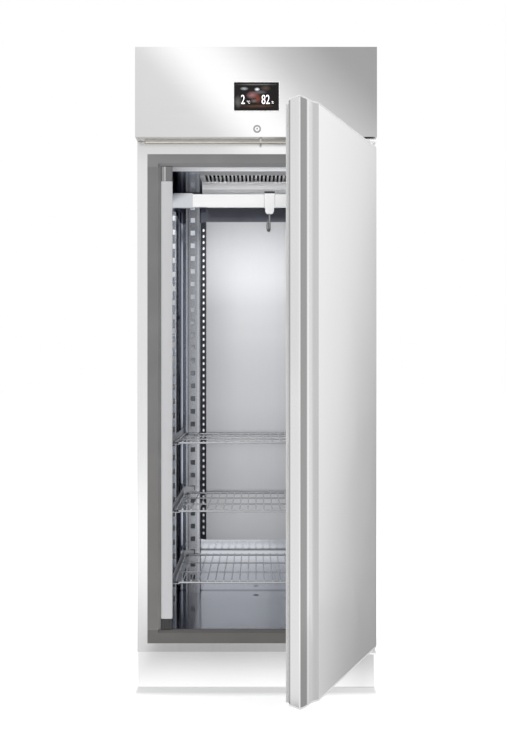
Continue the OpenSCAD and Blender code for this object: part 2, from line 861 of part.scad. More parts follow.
// A bent frame wire with cross wires between its sides and long wires laid on top, each welded with a
// little overlap.
module shelf(z) {
    r = frame_wire / 2;
    weld = 0.5;
    x = shelf_w / 2 - r;
    y = shelf_y + r;
    back = shelf_y + shelf_d - r;
    c = shelf_corner;
    long_z = r + long_wire / 2 - weld;
    color("lightgray")
        translate([0, 0, floor_z + z]) {
            for (side = [-1, 1])
                rod_y([side * x, y + c, 0], r, back - y - 2 * c);
            for (rail = [y, back])
                rod_x([-x + c, rail, 0], r, 2 * x - 2 * c);
            for (bend = [[-x + c, y + c, 180], [x - c, y + c, 270], [x - c, back - c, 0],
                    [-x + c, back - c, 90]])
                translate([bend.x, bend.y, 0]) rotate([0, 0, bend.z])
                    rotate_extrude(angle = 90) translate([c, 0]) circle(r);
            for (share = [1 / 3, 2 / 3])
                rod_x([-x, y + (back - y) * share, r - cross_wire / 2], cross_wire / 2, 2 * x);
            for (i = [1:long_wires])
                rod_y([-x + 2 * x * i / (long_wires + 1), shelf_y + 0.5, long_z], long_wire / 2,
                    shelf_d - 1);
        }
}

module shelf_1() {
    shelf(shelf_1_z);
}

module shelf_2() {
    shelf(shelf_2_z);
}

module shelf_3() {
    shelf(shelf_3_z);
}

// The duct's flat front has slanted sides with air holes, and feet on the back wall.
module air_duct_panel() {
    w = duct_half_w;
    s = duct_slant;
    t = skin_t;
    k = t * (sqrt(2) - 1);
    foot = 10;
    outer = [[0, duct_y], [w, duct_y], [w + s, duct_y + s], [w + s, rear_y - t],
        [w + s + foot, rear_y - t], [w + s + foot, rear_y]];
    inner = [[w + s - t, rear_y], [w + s - t, duct_y + s + k], [w - k, duct_y + t], [0, duct_y + t]];
    color("lightgray")
        both_sides()
            difference() {
                translate([0, 0, floor_z + duct_z]) linear_extrude(duct_h)
                    polygon(concat(outer, inner));
                for (z = [duct_pitch : duct_pitch : duct_h - duct_pitch / 2])
                    translate([w + s / 2, duct_y + s / 2, floor_z + duct_z + z])
                        rotate([90, 0, 45]) cylinder(r = duct_hole_r, h = 8, center = true);
            }
}

// A channel on each side wall with a plate and a sleeve that hold the bar's end.
module hanging_rails() {
    t = 2;
    lap = 4;
    plate_lap = 14;
    low = bar_bottom - lap;
    h = bar_h + 2 * lap;
    y = bar_front - 40;
    color("lightgray")
        both_sides()
            difference() {
                union() {
                    difference() {
                        translate([-chamber_x, y, low]) cube([rail_w, duct_y - y, h]);
                        translate([-chamber_x + t, y - 1, low + t])
                            cube([rail_w, duct_y - y + 2, h - 2 * t]);
                    }
                    translate([-bar_end - saddle_t, bar_front - plate_lap, low])
                        cube([saddle_t, bar_d + 2 * plate_lap, h]);
                    translate([-bar_end - eps, bar_front - saddle_t, bar_bottom - saddle_t])
                        cube([saddle_l, bar_d + 2 * saddle_t, bar_h + 2 * saddle_t]);
                }
                translate([-bar_end, bar_front, bar_bottom]) cube([saddle_l + 1, bar_d, bar_h]);
            }
}

module hanging_bar() {
    t = 2;
    color("white")
        difference() {
            translate([-bar_end, bar_front, bar_bottom]) cube([2 * bar_end, bar_d, bar_h]);
            translate([-bar_end - 1, bar_front + t, bar_bottom + t])
                cube([2 * bar_end + 2, bar_d - 2 * t, bar_h - 2 * t]);
        }
}

// A sleeve that slides on the bar, with a front plate that narrows downwards and a boss for the hook.
module hook_carrier() {
    t = saddle_t;
    c = carrier_clear;
    cap = 8;
    y = bar_front - c - t;
    d = bar_d + 2 * c + 2 * t;
    boss_z = carrier_bottom - boss_h;
    top = carrier_bottom + 1;
    shoulder = [carrier_w / 2 - 3, boss_z + 7];
    foot = shoulder.x - 5;
    front = [[-carrier_w / 2, top], [-shoulder.x, shoulder.y], [-foot, boss_z], [foot, boss_z],
        shoulder, [carrier_w / 2, top]];
    color("silver")
        difference() {
            union() {
                translate([carrier_x - carrier_w / 2, y, carrier_bottom])
                    cube([carrier_w, d, bar_bottom + bar_h + c + cap - carrier_bottom]);
                translate([hook_at.x, hook_at.y, boss_z]) cylinder(r = boss_r, h = boss_h + 1);
                translate([carrier_x, y + t, 0]) rotate([90, 0, 0]) linear_extrude(t)
                    polygon(front);
            }
            translate([carrier_x - carrier_w, bar_front - c, carrier_bottom + t])
                cube([2 * carrier_w, bar_d + 2 * c, bar_bottom + bar_h + c - carrier_bottom - t]);
            translate([hook_at.x, hook_at.y, boss_z - 1])
                cylinder(r = hook_r + hook_play, h = boss_h + t + 2);
        }
}

// The hook's head lies above the boss, below the bar.
module meat_hook() {
    head_z = carrier_bottom + saddle_t + run_gap;
    bend_z = carrier_bottom - boss_h - hook_l;
    tip_l = 9;
    point_l = 12;
    color("gray")
        translate([hook_at.x, hook_at.y, 0]) rotate([0, 0, hook_turn]) {
            translate([0, 0, head_z]) cylinder(r = hook_r + 2.5, h = 3);
            translate([0, 0, bend_z]) cylinder(r = hook_r, h = head_z + 1 - bend_z);
            translate([hook_bend, 0, bend_z]) rotate([-90, 0, 0])
                rotate_extrude(angle = 180) translate([hook_bend, 0]) circle(hook_r);
            translate([2 * hook_bend, 0, bend_z]) cylinder(r = hook_r, h = tip_l);
            translate([2 * hook_bend, 0, bend_z + tip_l])
                cylinder(r1 = hook_r, r2 = 0.6, h = point_l);
        }
}

module light_profile() {
    t = 1.5;
    y = front_y + light_y + lens_t;
    d = light_d - lens_t;
    color("silver")
        difference() {
            translate([-chamber_x, y, light_low]) cube([light_w, d, light_h]);
            translate([-chamber_x + t, y - 1, light_low - 1])
                cube([light_w - 2 * t, d + 1 - t, light_h + 2]);
        }
}

module light_diffuser() {
    color("white")
        translate([-chamber_x, front_y + light_y, light_low]) cube([light_w, lens_t, light_h]);
}

module light_end_caps() {
    proud = 1;
    color("dimgray")
        for (cap = [[floor_z, light_bottom_cap], [light_low + light_h, light_top_cap]])
            translate([-chamber_x, front_y + light_y - proud, cap[0]])
                cube([light_w, light_d + 2 * proud, cap[1]]);
}

// A slotted sheet under the ceiling that curves down into the drip pan below the coil.
module evaporator_cover() {
    t = cover_t;
    rear_flange = 16;
    y = front_y + cover_y;
    bend_y = front_y + air_slot_y + air_slot_l + 8;
    pan_y = bend_y + cover_drop;
    pan_z = ceiling_z - cover_drop;
    end_y = duct_y - 5;
    steps = 10;
    sheet = concat(
        [[y, ceiling_z]],
        [for (i = [0:steps]) let (a = 90 - 90 * i / steps)
            [bend_y + cover_drop * cos(a), pan_z + cover_drop * sin(a)]],
        [[end_y, pan_z], [end_y, pan_z - t], [pan_y - t, pan_z - t]],
        [for (i = [0:steps]) let (a = 90 * i / steps)
            [bend_y + (cover_drop - t) * cos(a), pan_z + (cover_drop - t) * sin(a)]],
        [[y, ceiling_z - t]]);
    color("lightgray") {
        difference() {
            along_x(sheet, cover_w);
            for (i = [0:air_slots - 1])
                translate([(i - (air_slots - 1) / 2) * air_slot_pitch - air_slot_w / 2,
                        front_y + air_slot_y, ceiling_z - t - 1])
                    cube([air_slot_w, air_slot_l, t + 2]);
        }
        both_sides()
            translate([-cover_w / 2, pan_y - t, pan_z - t / 2])
                cube([t, end_y - pan_y + t, cover_drop + t / 2]);
        translate([-cover_w / 2, end_y - t, pan_z - t / 2]) cube([cover_w, t, rear_flange]);
    }
}

// An insulated box over the ceiling's opening, with a hole for each refrigerant line.
module evaporator_housing() {
    t = housing_t;
    y = unit_front - 2;
    d = unit_d + 4;
    color("khaki")
        difference() {
            translate([-housing_in - t, y - t, deck_z])
                cube([2 * housing_in + 2 * t, d + 2 * t, housing_h]);
            translate([-housing_in, y, deck_z - 1]) cube([2 * housing_in, d, housing_h - t + 1]);
            for (side = [-1, 1])
                translate([side * line_x, line_y, deck_z + housing_h - t - 1])
                    cylinder(r = tube_r + 1, h = t + 2);
        }
}

// Fins on rows of tubes, with return bends at both sides.
module finned_coil(size, fins, rows, columns) {
    r = 5;
    fin_t = 1.2;
    row_step = size.z / rows;
    column_step = size.y / columns;
    for (i = [0:fins - 1])
        translate([-size.x / 2 + (size.x - fin_t) * i / (fins - 1), 0, 0])
            cube([fin_t, size.y, size.z]);
    for (row = [0:rows - 1], column = [0:columns - 1])
        rod_x([-size.x / 2 - 4, (column + 0.5) * column_step, (row + 0.5) * row_step], r,
            size.x + 8);
    for (side = [0, 1], row = [side:2:rows - 2], column = [0:columns - 1])
        translate([(side - 0.5) * (size.x + 8), (column + 0.5) * column_step, (row + 1) * row_step])
            rotate([90, 0, 0]) rotate([0, 0, side == 1 ? -90 : 90])
                rotate_extrude(angle = 180) translate([row_step / 2, 0]) circle(r);
}

module evaporator_coil() {
    ear = housing_in - evap_coil.x / 2;
    color("silver")
        translate(evap_coil_at) {
            finned_coil(evap_coil, 19, 4, 2);
            both_sides()
                translate([evap_coil.x / 2 - 1, 0, evap_coil.z - 3]) cube([ear + 1, evap_coil.y, 3]);
        }
}

// A hub and tilted blades round the Y axis, from the point at, with a blind hole for the shaft.
module fan_wheel(at, r, hub, depth, blades) {
    blade_t = 1.6;
    tilt = 28;
    root = 4;
    translate(at)
        difference() {
            union() {
                rod_y([0, 0, 0], hub, depth);
                for (i = [0:blades - 1])
                    rotate([0, i * 360 / blades, 0])
                        translate([0, depth / 2, 0]) rotate([0, 0, tilt])
                            translate([-hub * 0.75, -blade_t / 2, hub - root])
                                cube([hub * 1.5, blade_t, r - hub + root - 2]);
            }
            rod_y([0, fan_hole, 0], shaft_r + pin_clear, depth);
        }
}

// A motor on a strap, its shaft pointing forwards.
module fan_motor(at, r, l, arm, shaft_l) {
    strap = [6, 14];
    rod_y(at, r, l);
    rod_y([at.x, at.y - shaft_l, at.z], shaft_r, shaft_l + 1);
    translate([at.x - arm, at.y, at.z - strap[1] / 2]) cube([2 * arm, strap[0], strap[1]]);
}

module evaporator_fan() {
    color("black") fan_wheel(evap_fan_at, evap_fan_r, 20, fan_depth, 5);
}

module evaporator_fan_motor() {
    color("dimgray")
        fan_motor([evap_fan_at.x, evap_fan_at.y + fan_depth + evap_fan_gap, evap_fan_at.z],
            evap_motor_r, evap_motor_l, housing_in, evap_fan_gap + fan_depth - shaft_end);
}

module climate_probe() {
    r = 4;
    l = 70;
    clip = [6, 6, 8];
    top = ceiling_z - cover_drop - cover_t;
    color("gray") {
        rod_y([probe_at.x, probe_at.y, top - clip.z], r, l);
        for (y = [2 * clip.y, l - 3 * clip.y])
            translate([probe_at.x - clip.x / 2, probe_at.y + y, top - clip.z]) cube(clip);
    }
}

module unit_base_plate() {
    color("silver")
        difference() {
            translate([-half_w + skin_t, front_y + skin_t, deck_z - deck_t])
                cube([cab_w - 2 * skin_t, back_y - front_y - 2 * skin_t, deck_t]);
            ceiling_opening(deck_z - deck_t - 1, deck_t + 2);
        }
}

module compressor_grommets() {
    r = 12;
    x = comp_base.x / 2 - r - 3;
    y = comp_base.y / 2 - r - 3;
    color("black")
        for (side = [-x, x], end = [-y, y])
            translate([comp_at.x + side, comp_at.y + end, deck_z]) cylinder(r = r, h = grommet_h);
}

// A welded shell with rounded ends on a base plate, with a terminal box on its side.
module compressor() {
    edge = 34;
    terminal_box = [50, 30, 60];
    z = deck_z + grommet_h;
    r = compressor_r;
    h = compressor_h;
    color("black")
        translate([comp_at.x, comp_at.y, z]) {
            translate([-comp_base.x / 2, -comp_base.y / 2, 0])
                cube([comp_base.x, comp_base.y, comp_plate_t]);
            translate([0, 0, comp_plate_t - eps])
                rotate_extrude() {
                    square([r - edge, h]);
                    translate([0, edge]) square([r, h - 2 * edge]);
                    intersection() {
                        union() {
                            translate([r - edge, edge]) circle(edge);
                            translate([r - edge, h - edge]) circle(edge);
                        }
                        square([r, h]);
                    }
                }
            translate([-terminal_box.x / 2, -r - 14, (h - terminal_box.z) / 2]) cube(terminal_box);
        }
}

module condenser_coil() {
    color("silver")
        translate([cond_x, cond_y, deck_z]) finned_coil(cond_coil, 17, 6, 1);
}

module fan_shroud() {
    t = 2;
    bore = fan_r + fan_gap;
    color("dimgray")
        difference() {
            union() {
                translate([cond_x - cond_coil.x / 2, shroud_y, deck_z])
                    cube([cond_coil.x, t, cond_coil.z]);
                rod_y([cond_x, shroud_y, cond_fan_z], bore + t, shroud_l);
            }
            rod_y([cond_x, shroud_y - 1, cond_fan_z], bore, shroud_l + 2);
        }
}

module condenser_fan() {
    color("black") fan_wheel([cond_x, shroud_y + fan_inset, cond_fan_z], fan_r, 24, fan_depth, 5);
}

module condenser_fan_motor() {
    color("dimgray")
        fan_motor([cond_x, shroud_y + shroud_l, cond_fan_z], cond_motor_r, cond_motor_l,
            fan_r + fan_gap + 2, shroud_l - fan_inset - shaft_end);
}

// Discharge line to the condenser, liquid line with the filter drier, and suction line.
module refrigerant_lines() {
    joint = 0.2;
    top = deck_z + grommet_h + comp_plate_t + compressor_h + joint;
    end_x = cond_x + cond_coil.x / 2 + 4 + joint;
    mid_y = cond_y + cond_coil.y / 2;
    coil_top = evap_coil_at.z + evap_coil.z + joint;
    liquid_y = unit_front - 54;
    liquid_z = deck_z + housing_h + 20;
    suction_z = liquid_z + 16;
    side = suction_x - comp_at.x - tube_r;
    shell_y = sqrt(compressor_r * compressor_r - side * side) + joint;
    low_tube = deck_z + cond_coil.z / 12;
    high_tube = deck_z + cond_coil.z * 11 / 12;
    drier = [12, 70];
    color("peru") {
        pipe([[comp_at.x, comp_at.y, top], [comp_at.x, comp_at.y, high_tube],
            [comp_at.x, mid_y, high_tube], [end_x, mid_y, high_tube]], tube_r, elbow_r);
        pipe([[end_x, mid_y, low_tube], [line_x, mid_y, low_tube], [line_x, liquid_y, low_tube],
            [line_x, liquid_y, liquid_z], [line_x, line_y, liquid_z],
            [line_x, line_y, coil_top]], tube_r, elbow_r);
        translate([line_x, liquid_y, low_tube + 30]) cylinder(r = drier[0], h = drier[1]);
        pipe([[-line_x, line_y, coil_top], [-line_x, line_y, suction_z],
            [suction_x, line_y, suction_z], [suction_x, comp_at.y + shell_y, suction_z]],
            tube_r, elbow_r);
    }
}

// A box with a lid; the board and its transformer and relays are inside.
module control_box() {
    t = 2;
    margin = 10;
    board_t = 6;
    transformer = [50, 45, 40];
    relay = [30, 18, 22];
    s = control_size;
    color("dimgray")
        translate([control_at.x, control_at.y, deck_z]) {
            difference() {
                cube([s.x, s.y, s.z - t]);
                translate([t, t, t]) cube([s.x - 2 * t, s.y - 2 * t, s.z]);
            }
            translate([0, 0, s.z - t]) cube([s.x, s.y, t]);
            translate([t + margin, t + margin, t])
                cube([s.x - 2 * t - 2 * margin, s.y - 2 * t - 2 * margin, board_t]);
            translate([3 * margin, 3 * margin, t + board_t]) cube(transformer);
            for (y = [s.y / 2 : relay.x : s.y - 3 * margin])
                translate([3 * margin, y, t + board_t]) cube(relay);
        }
}

// A hexagon outside and a nut inside clamp the gland in the rear grille.
module cable_gland() {
    color("black")
        difference() {
            union() {
                rod_y([gland_at.x, back_y - 9, gland_at.y], gland_body_r, 21);
                translate([gland_at.x, back_y, gland_at.y]) rotate([-90, 0, 0])
                    cylinder(r = gland_flange_r, h = 5, $fn = 6);
                translate([gland_at.x, back_y - skin_t - 5, gland_at.y]) rotate([-90, 0, 0])
                    cylinder(r = gland_flange_r, h = 5, $fn = 6);
            }
            rod_y([gland_at.x, back_y - 10, gland_at.y], gland_r, 23);
        }
}

// A folded sheet: its side flanges are rounded about the pivot, so that it can tilt up.
module fascia_panel() {
    t = fascia_t;
    d = fascia_back_y - door_face_y;
    cut = display_rim / 2 + 0.2;
    cable_hole = [11, 8, 3];
    color("silver")
        difference() {
            union() {
                translate([-half_w, door_face_y, fascia_z]) cube([cab_w, t, fascia_h]);
                translate([-half_w, door_face_y, fascia_z]) cube([cab_w, d, t]);
                translate([-half_w, door_face_y, cab_h - t])
                    cube([cab_w, pivot_y + 3 - door_face_y, t]);
                both_sides() {
                    translate([-half_w, door_face_y, fascia_z]) cube([t, d, fascia_h - pivot_in]);
                    translate([-half_w, door_face_y, fascia_z])
                        cube([t, pivot_y - door_face_y, fascia_h]);
                    rod_x([-half_w, pivot_y, pivot_z], pivot_in, t);
                }
            }
            both_sides() {
                rod_x([-half_w - 1, pivot_y, pivot_z], pivot_r + pin_clear, t + 2);
                translate([-half_w + cable_hole.x, fascia_back_y - cable_hole.y, fascia_z - 1])
                    cylinder(r = cable_hole.z, h = t + 2);
            }
            translate([display_x - display_w / 2 - cut, door_face_y - 1,
                    fascia_z + display_z - display_h / 2 - cut])
                cube([display_w + 2 * cut, t + 2, display_h + 2 * cut]);
            rod_y([lock_at.x, door_face_y - 1, lock_at.y], lock_body_r + 0.1, t + 2);
            translate([bolt_x - bolt_w / 2 - guide_clear, bolt_y - guide_clear, fascia_z - 1])
                cube([bolt_w + 2 * guide_clear, bolt_t + 2 * guide_clear, t + 2]);
        }
}

// The housing of the display: a rim on the control panel and a box behind it.
module display_housing() {
    rim = display_rim;
    middle = [display_x, door_face_y, fascia_z + display_z];
    proud = 1.2;
    depth = 26;
    color("white")
        translate(middle)
            difference() {
                union() {
                    translate([-display_w / 2 - rim, -proud, -display_h / 2 - rim])
                        cube([display_w + 2 * rim, proud, display_h + 2 * rim]);
                    translate([-display_w / 2 - rim / 2, -0.5, -display_h / 2 - rim / 2])
                        cube([display_w + rim, depth, display_h + rim]);
                }
                translate([-display_w / 2, -2, -display_h / 2])
                    cube([display_w, 2.8, display_h]);
            }
}

module display_screen() {
    color("black")
        translate([display_x - display_w / 2 + 0.1, door_face_y - 1,
                fascia_z + display_z - display_h / 2 + 0.1])
            cube([display_w - 0.2, 1.8, display_h - 0.2]);
}

// The barrel in the control panel, and the bolt's guide on the panel's lower flange.
module lock_housing() {
    wall = 1.4;
    guide = [bolt_w + 2 * guide_clear + 6, bolt_t + 2 * guide_clear + 2 * wall, 4.4];
    color("silver") {
        difference() {
            union() {
                rod_y([lock_at.x, door_face_y - 2, lock_at.y], lock_r, 2);
                rod_y([lock_at.x, door_face_y - 1, lock_at.y], lock_body_r, lock_body_l + 1);
            }
            rod_y([lock_at.x, door_face_y - 3, lock_at.y], lock_bore_r + pin_clear, lock_body_l + 4);
        }
        difference() {
            translate([bolt_x - guide.x / 2, bolt_y - guide_clear - wall, fascia_z + fascia_t])
                cube(guide);
            translate([bolt_x - bolt_w / 2 - guide_clear, bolt_y - guide_clear, fascia_z])
                cube([bolt_w + 2 * guide_clear, bolt_t + 2 * guide_clear, 20]);
        }
    }
}

// The plug with its keyhole, and the crank disc and pin behind the barrel.
module lock_plug() {
    front = door_face_y - 1.6;
    pin_end = bolt_y + bolt_t + 0.5;
    color("gold")
        difference() {
            union() {
                rod_y([lock_at.x, front, lock_at.y], lock_bore_r, crank_y + run_gap + 1 - front);
                rod_y([lock_at.x, crank_y + run_gap, lock_at.y], crank_r + 3, crank_t);
                rod_y([bolt_x, crank_y + run_gap + 1, bolt_pin_z], crank_pin_r,
                    pin_end - crank_y - run_gap - 1);
            }
            translate([lock_at.x - 0.9, front - 1, lock_at.y - 3.5]) cube([1.8, 9, 7]);
        }
}

// The crank pin works in the head's slot and draws the bolt down.
module lock_bolt() {
    side = 4;
    slot_x = bolt_x - crank_pin_r - bolt_slot_gap;
    slot = [lock_x + crank_r + crank_pin_r + bolt_slot_gap - slot_x, 2 * (crank_pin_r + bolt_slot_gap)];
    color("white")
        difference() {
            union() {
                translate([bolt_x - bolt_w / 2, bolt_y, bolt_end_z])
                    cube([bolt_w, bolt_t, bolt_pin_z - bolt_end_z]);
                translate([slot_x - side, bolt_y, bolt_pin_z - slot.y / 2 - side])
                    cube([slot.x + 2 * side, bolt_t, slot.y + 2 * side]);
            }
            translate([slot_x, bolt_y - 1, bolt_pin_z - slot.y / 2])
                cube([slot.x, bolt_t + 2, slot.y]);
        }
}

module bush_holes(r) {
    for (z = [door_z - 1, door_top_z - bush_l])
        translate([hinge_x, hinge_y, z]) cylinder(r = r, h = bush_l + 1);
}

// The pocket in the closed door's top that takes the lock's bolt.
module keeper_pocket() {
    translate([bolt_x - 5, bolt_y - 3, door_top_z - bolt_travel]) cube([10, bolt_t + 6, 40]);
}

module door_skin() {
    outline = door_outline();
    color("whitesmoke")
        on_door()
            difference() {
                translate([0, 0, door_z + door_cap_t])
                    linear_extrude(door_top_z - door_z - 2 * door_cap_t)
                        difference() {
                            polygon(outline);
                            polygon(inset(outline, skin_t));
                        }
                translate([-half_w, door_inner_y - skin_t - eps, door_z])
                    cube([cab_w, skin_t + 1, door_top_z - door_z]);
            }
}

module door_foam() {
    color("khaki")
        on_door()
            difference() {
                translate([0, 0, door_z + door_cap_t])
                    linear_extrude(door_top_z - door_z - 2 * door_cap_t)
                        polygon(inset(door_outline(), skin_t));
                bush_holes(bush_r);
                keeper_pocket();
            }
}

// The inner panel, with a pressed field inside the gasket.
module door_liner() {
    field = 4;
    l = [-half_w + lip_slope_w + skin_t, half_w - door_edge - skin_t];
    inner = [mouth[0] + 16, mouth[1] - 16, mouth[2] + 16, mouth[3] - 16];
    h = door_top_z - door_z - 2 * door_cap_t;
    color("gainsboro")
        on_door() {
            translate([l[0], door_inner_y - skin_t, door_z + door_cap_t])
                cube([l[1] - l[0], skin_t, h]);
            translate([inner[0], door_inner_y - eps, inner[2]])
                cube([inner[1] - inner[0], field + eps, inner[3] - inner[2]]);
        }
}

module door_end_caps() {
    color("dimgray")
        on_door()
            difference() {
                for (z = [door_z, door_top_z - door_cap_t])
                    translate([0, 0, z]) linear_extrude(door_cap_t) polygon(door_outline());
                bush_holes(bush_r);
                keeper_pocket();
            }
}

// A base strip, a neck and a wider head, on the middle of the thermal break.
module door_gasket() {
    h = door_gap - gasket_clear;
    seam = breaker_chamfer + 3;
    strips = [[0, h * 0.28, 0], [h * 0.28, h * 0.5, gasket_w * 0.32], [h * 0.5, h, gasket_w * 0.15]];
    color("dimgray")
        on_door()
            for (s = strips)
                ring([mouth[0] - seam - gasket_w + s[2], mouth[1] + seam + gasket_w - s[2],
                        mouth[2] - seam - gasket_w + s[2], mouth[3] + seam + gasket_w - s[2]],
                    [mouth[0] - seam - s[2], mouth[1] + seam + s[2],
                        mouth[2] - seam - s[2], mouth[3] + seam + s[2]],
                    door_inner_y + s[0], s[1] - s[0]);
}

// Nylon bushes with a collar that carries the door on the lower bracket.
module hinge_bushes() {
    inner = pin_r + pin_clear;
    color("white")
        on_door()
            for (flip = [false, true]) {
                end = flip ? upper_shelf_z - run_gap : lower_shelf_z + bracket_t + run_gap;
                edge = flip ? door_top_z : door_z;
                translate([hinge_x, hinge_y, edge]) mirror([0, 0, flip ? 1 : 0])
                    difference() {
                        union() {
                            cylinder(r = bush_r, h = bush_l);
                            translate([0, 0, -abs(edge - end)])
                                cylinder(r = collar_r, h = abs(edge - end));
                        }
                        translate([0, 0, -abs(edge - end) - 1])
                            cylinder(r = inner, h = abs(edge - end) + pin_l + 3);
                    }
            }
}

plinth_frame();
plinth_crossbar();
base_panel();
left_side_panel();
right_side_panel();
back_panel();
front_frame();
breaker_frame();
cabinet_foam();
chamber_liner();
top_cover();
rear_grille();
lower_profile();
fascia_brackets();
hinge_brackets();
fixing_screws();
drain_spigot();
front_uprights();
rear_uprights();
left_runners();
right_runners();
shelf_1();
shelf_2();
shelf_3();
air_duct_panel();
hanging_rails();
hanging_bar();
hook_carrier();
meat_hook();
light_profile();
light_diffuser();
light_end_caps();
evaporator_cover();
evaporator_housing();
evaporator_coil();
evaporator_fan();
evaporator_fan_motor();
climate_probe();
unit_base_plate();
compressor();
compressor_grommets();
condenser_coil();
fan_shroud();
condenser_fan();
condenser_fan_motor();
refrigerant_lines();
control_box();
cable_gland();
fascia_panel();
display_housing();
display_screen();
lock_housing();
lock_plug();
lock_bolt();
door_skin();
door_foam();
door_liner();
door_end_caps();
door_gasket();
hinge_bushes();
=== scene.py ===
import json
import math

import bmesh
import bpy
import numpy as np
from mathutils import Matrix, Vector


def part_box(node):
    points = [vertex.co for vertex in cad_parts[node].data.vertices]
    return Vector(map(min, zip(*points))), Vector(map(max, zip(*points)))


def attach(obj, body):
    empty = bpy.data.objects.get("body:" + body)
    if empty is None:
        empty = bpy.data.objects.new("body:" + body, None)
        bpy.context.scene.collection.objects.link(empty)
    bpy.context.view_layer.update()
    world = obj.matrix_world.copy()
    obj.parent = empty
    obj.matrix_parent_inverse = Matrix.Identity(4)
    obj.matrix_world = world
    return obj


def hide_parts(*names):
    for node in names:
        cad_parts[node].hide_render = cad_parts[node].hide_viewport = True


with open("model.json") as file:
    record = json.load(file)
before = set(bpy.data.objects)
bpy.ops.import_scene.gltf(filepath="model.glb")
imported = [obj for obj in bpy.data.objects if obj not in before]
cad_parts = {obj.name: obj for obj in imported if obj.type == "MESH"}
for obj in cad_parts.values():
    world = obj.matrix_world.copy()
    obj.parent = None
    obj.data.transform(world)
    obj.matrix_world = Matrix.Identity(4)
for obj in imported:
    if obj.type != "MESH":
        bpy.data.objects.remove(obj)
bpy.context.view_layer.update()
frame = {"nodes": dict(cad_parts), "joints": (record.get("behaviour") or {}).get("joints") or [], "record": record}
scene = bpy.context.scene
mm = 0.001
joints = {joint["name"]: joint for joint in frame["joints"]}
print("frame loaded:", len(frame["nodes"]), "nodes")


def linked(name, data):
    # A new object of the scene, at the origin.
    made = bpy.data.objects.new(name, data)
    scene.collection.objects.link(made)
    return made


# Camera: level, in front of the cabinet, at the photograph's distance.
cameraSettings = {"place": (0.0, -4.105, 0.996), "lens": 58.52, "sensor": 36, "shift": (-0.0041, 0.0109),
                  "reach": 60}


def makeCamera(settings):
    data = bpy.data.cameras.new("camera")
    data.lens, data.sensor_width, data.clip_end = settings["lens"], settings["sensor"], settings["reach"]
    data.shift_x, data.shift_y = settings["shift"]
    camera = linked("camera", data)
    camera.location = settings["place"]
    camera.rotation_euler = (math.radians(90), 0, 0)
    scene.camera = camera


makeCamera(cameraSettings)

doorHinge = Vector(joints["door_hinge"]["pos_m"])
doorOpen = math.radians(-joints["door_hinge"]["range_deg"][0])  # from closed to the way it stands
doorAlong = Vector((math.cos(doorOpen), math.sin(doorOpen), 0))


# Materials. Each one is a Principled shader whose grain, tone and roughness come from noise on Object
# coordinates. A colour is (red, green, blue), or one number for a grey.
materials = {}


def shaderNode(tree, kind, inputs=None, **settings):
    # A node of that kind; each input is another node's output or a fixed value.
    made = tree.nodes.new("ShaderNode" + kind)
    for name, value in settings.items():
        setattr(made, name, value)
    for name, value in (inputs or {}).items():
        if isinstance(value, bpy.types.NodeSocket):
            tree.links.new(value, made.inputs[name])
        else:
            made.inputs[name].default_value = value
    return made


def calculated(tree, operation, *values):
    # The operation's value on numbers, and below it the same for vectors with all its outputs.
    return shaderNode(tree, "Math", dict(enumerate(values)), operation=operation).outputs["Value"]


def vectorMath(tree, operation, *values):
    return shaderNode(tree, "VectorMath", dict(enumerate(values)), operation=operation).outputs


def rgb(colour):
    return tuple(colour) if isinstance(colour, (tuple, list)) else (colour,) * 3


def mixed(tree, factor, first, second, blend="MIX"):
    # Two colours, each fixed or a node's output, blended by the factor.
    first, second = (c if isinstance(c, bpy.types.NodeSocket) else (*rgb(c), 1) for c in (first, second))
    return shaderNode(tree, "Mix", {"Factor": factor, 6: first, 7: second}, data_type="RGBA",
                      blend_type=blend).outputs[2]


def toned(tree, factor, colour, low, high):
    # The colour from low times to high times its brightness, and no brighter than white.
    return mixed(tree, factor, *([min(1.0, c * part) for c in rgb(colour)] for part in (low, high)))


def noise(tree, at, stretch, detail=3.0, rough=0.55):
    # Noise whose cells are as long as the stretch says along each axis, in metres.
    scale = (1 / np.broadcast_to(stretch, 3)).tolist()
    mapping = shaderNode(tree, "Mapping", {"Vector": at, "Scale": scale})
    return shaderNode(tree, "TexNoise", {"Vector": mapping.outputs["Vector"], "Scale": 1.0, "Detail": detail,
                                         "Roughness": rough}).outputs["Fac"]


def spread(tree, value, low, high, start=0.3, end=0.7):
    # The range start..end carried onto low..high, and held at its ends.
    return shaderNode(tree, "MapRange", {"Value": value, "From Min": start, "From Max": end, "To Min": low,
                                         "To Max": high}).outputs["Result"]


def brightnessRamp(tree, value, stops):
    # A colour ramp whose stops are (value, brightness), scaled back to the brightest of them.
    start, end = stops[0][0], stops[-1][0]
    top = max(brightness for _, brightness in stops)
    ramp = shaderNode(tree, "ValToRGB", {"Fac": spread(tree, value, 0, 1, start, end)})
    elements = ramp.color_ramp.elements
    for at, brightness in stops:
        ends = {start: elements[0], end: elements[-1]}
        element = ends[at] if at in ends else elements.new((at - start) / (end - start))
        element.color = (*rgb(brightness / top), 1)
    return ramp.outputs["Color"], top


def zoneMask(tree, at, ranges, soft):
    # 1 inside all the ranges and 0 outside, fading over the softness at each end; "side" is the distance from
    # the middle plane, and "door" runs along the open door from its hinge.
    place = shaderNode(tree, "SeparateXYZ", {"Vector": at}).outputs
    softLow, softHigh = soft if isinstance(soft, tuple) else (soft, soft)
    mask = None
    for axis, (low, high) in ranges.items():
        if axis == "side":
            value = calculated(tree, "ABSOLUTE", place["X"])
        elif axis == "door":
            value = vectorMath(tree, "DOT_PRODUCT", at, doorAlong)["Value"]
            low, high = low + doorHinge @ doorAlong, high + doorHinge @ doorAlong
        else:
            value = place[axis.upper()]
        for edge, ends, fade in ((low, (0, 1), softLow), (high, (1, 0), softHigh)):
            step = spread(tree, value, *ends, edge - fade, edge + fade)
            mask = step if mask is None else calculated(tree, "MULTIPLY", mask, step)
    return mask


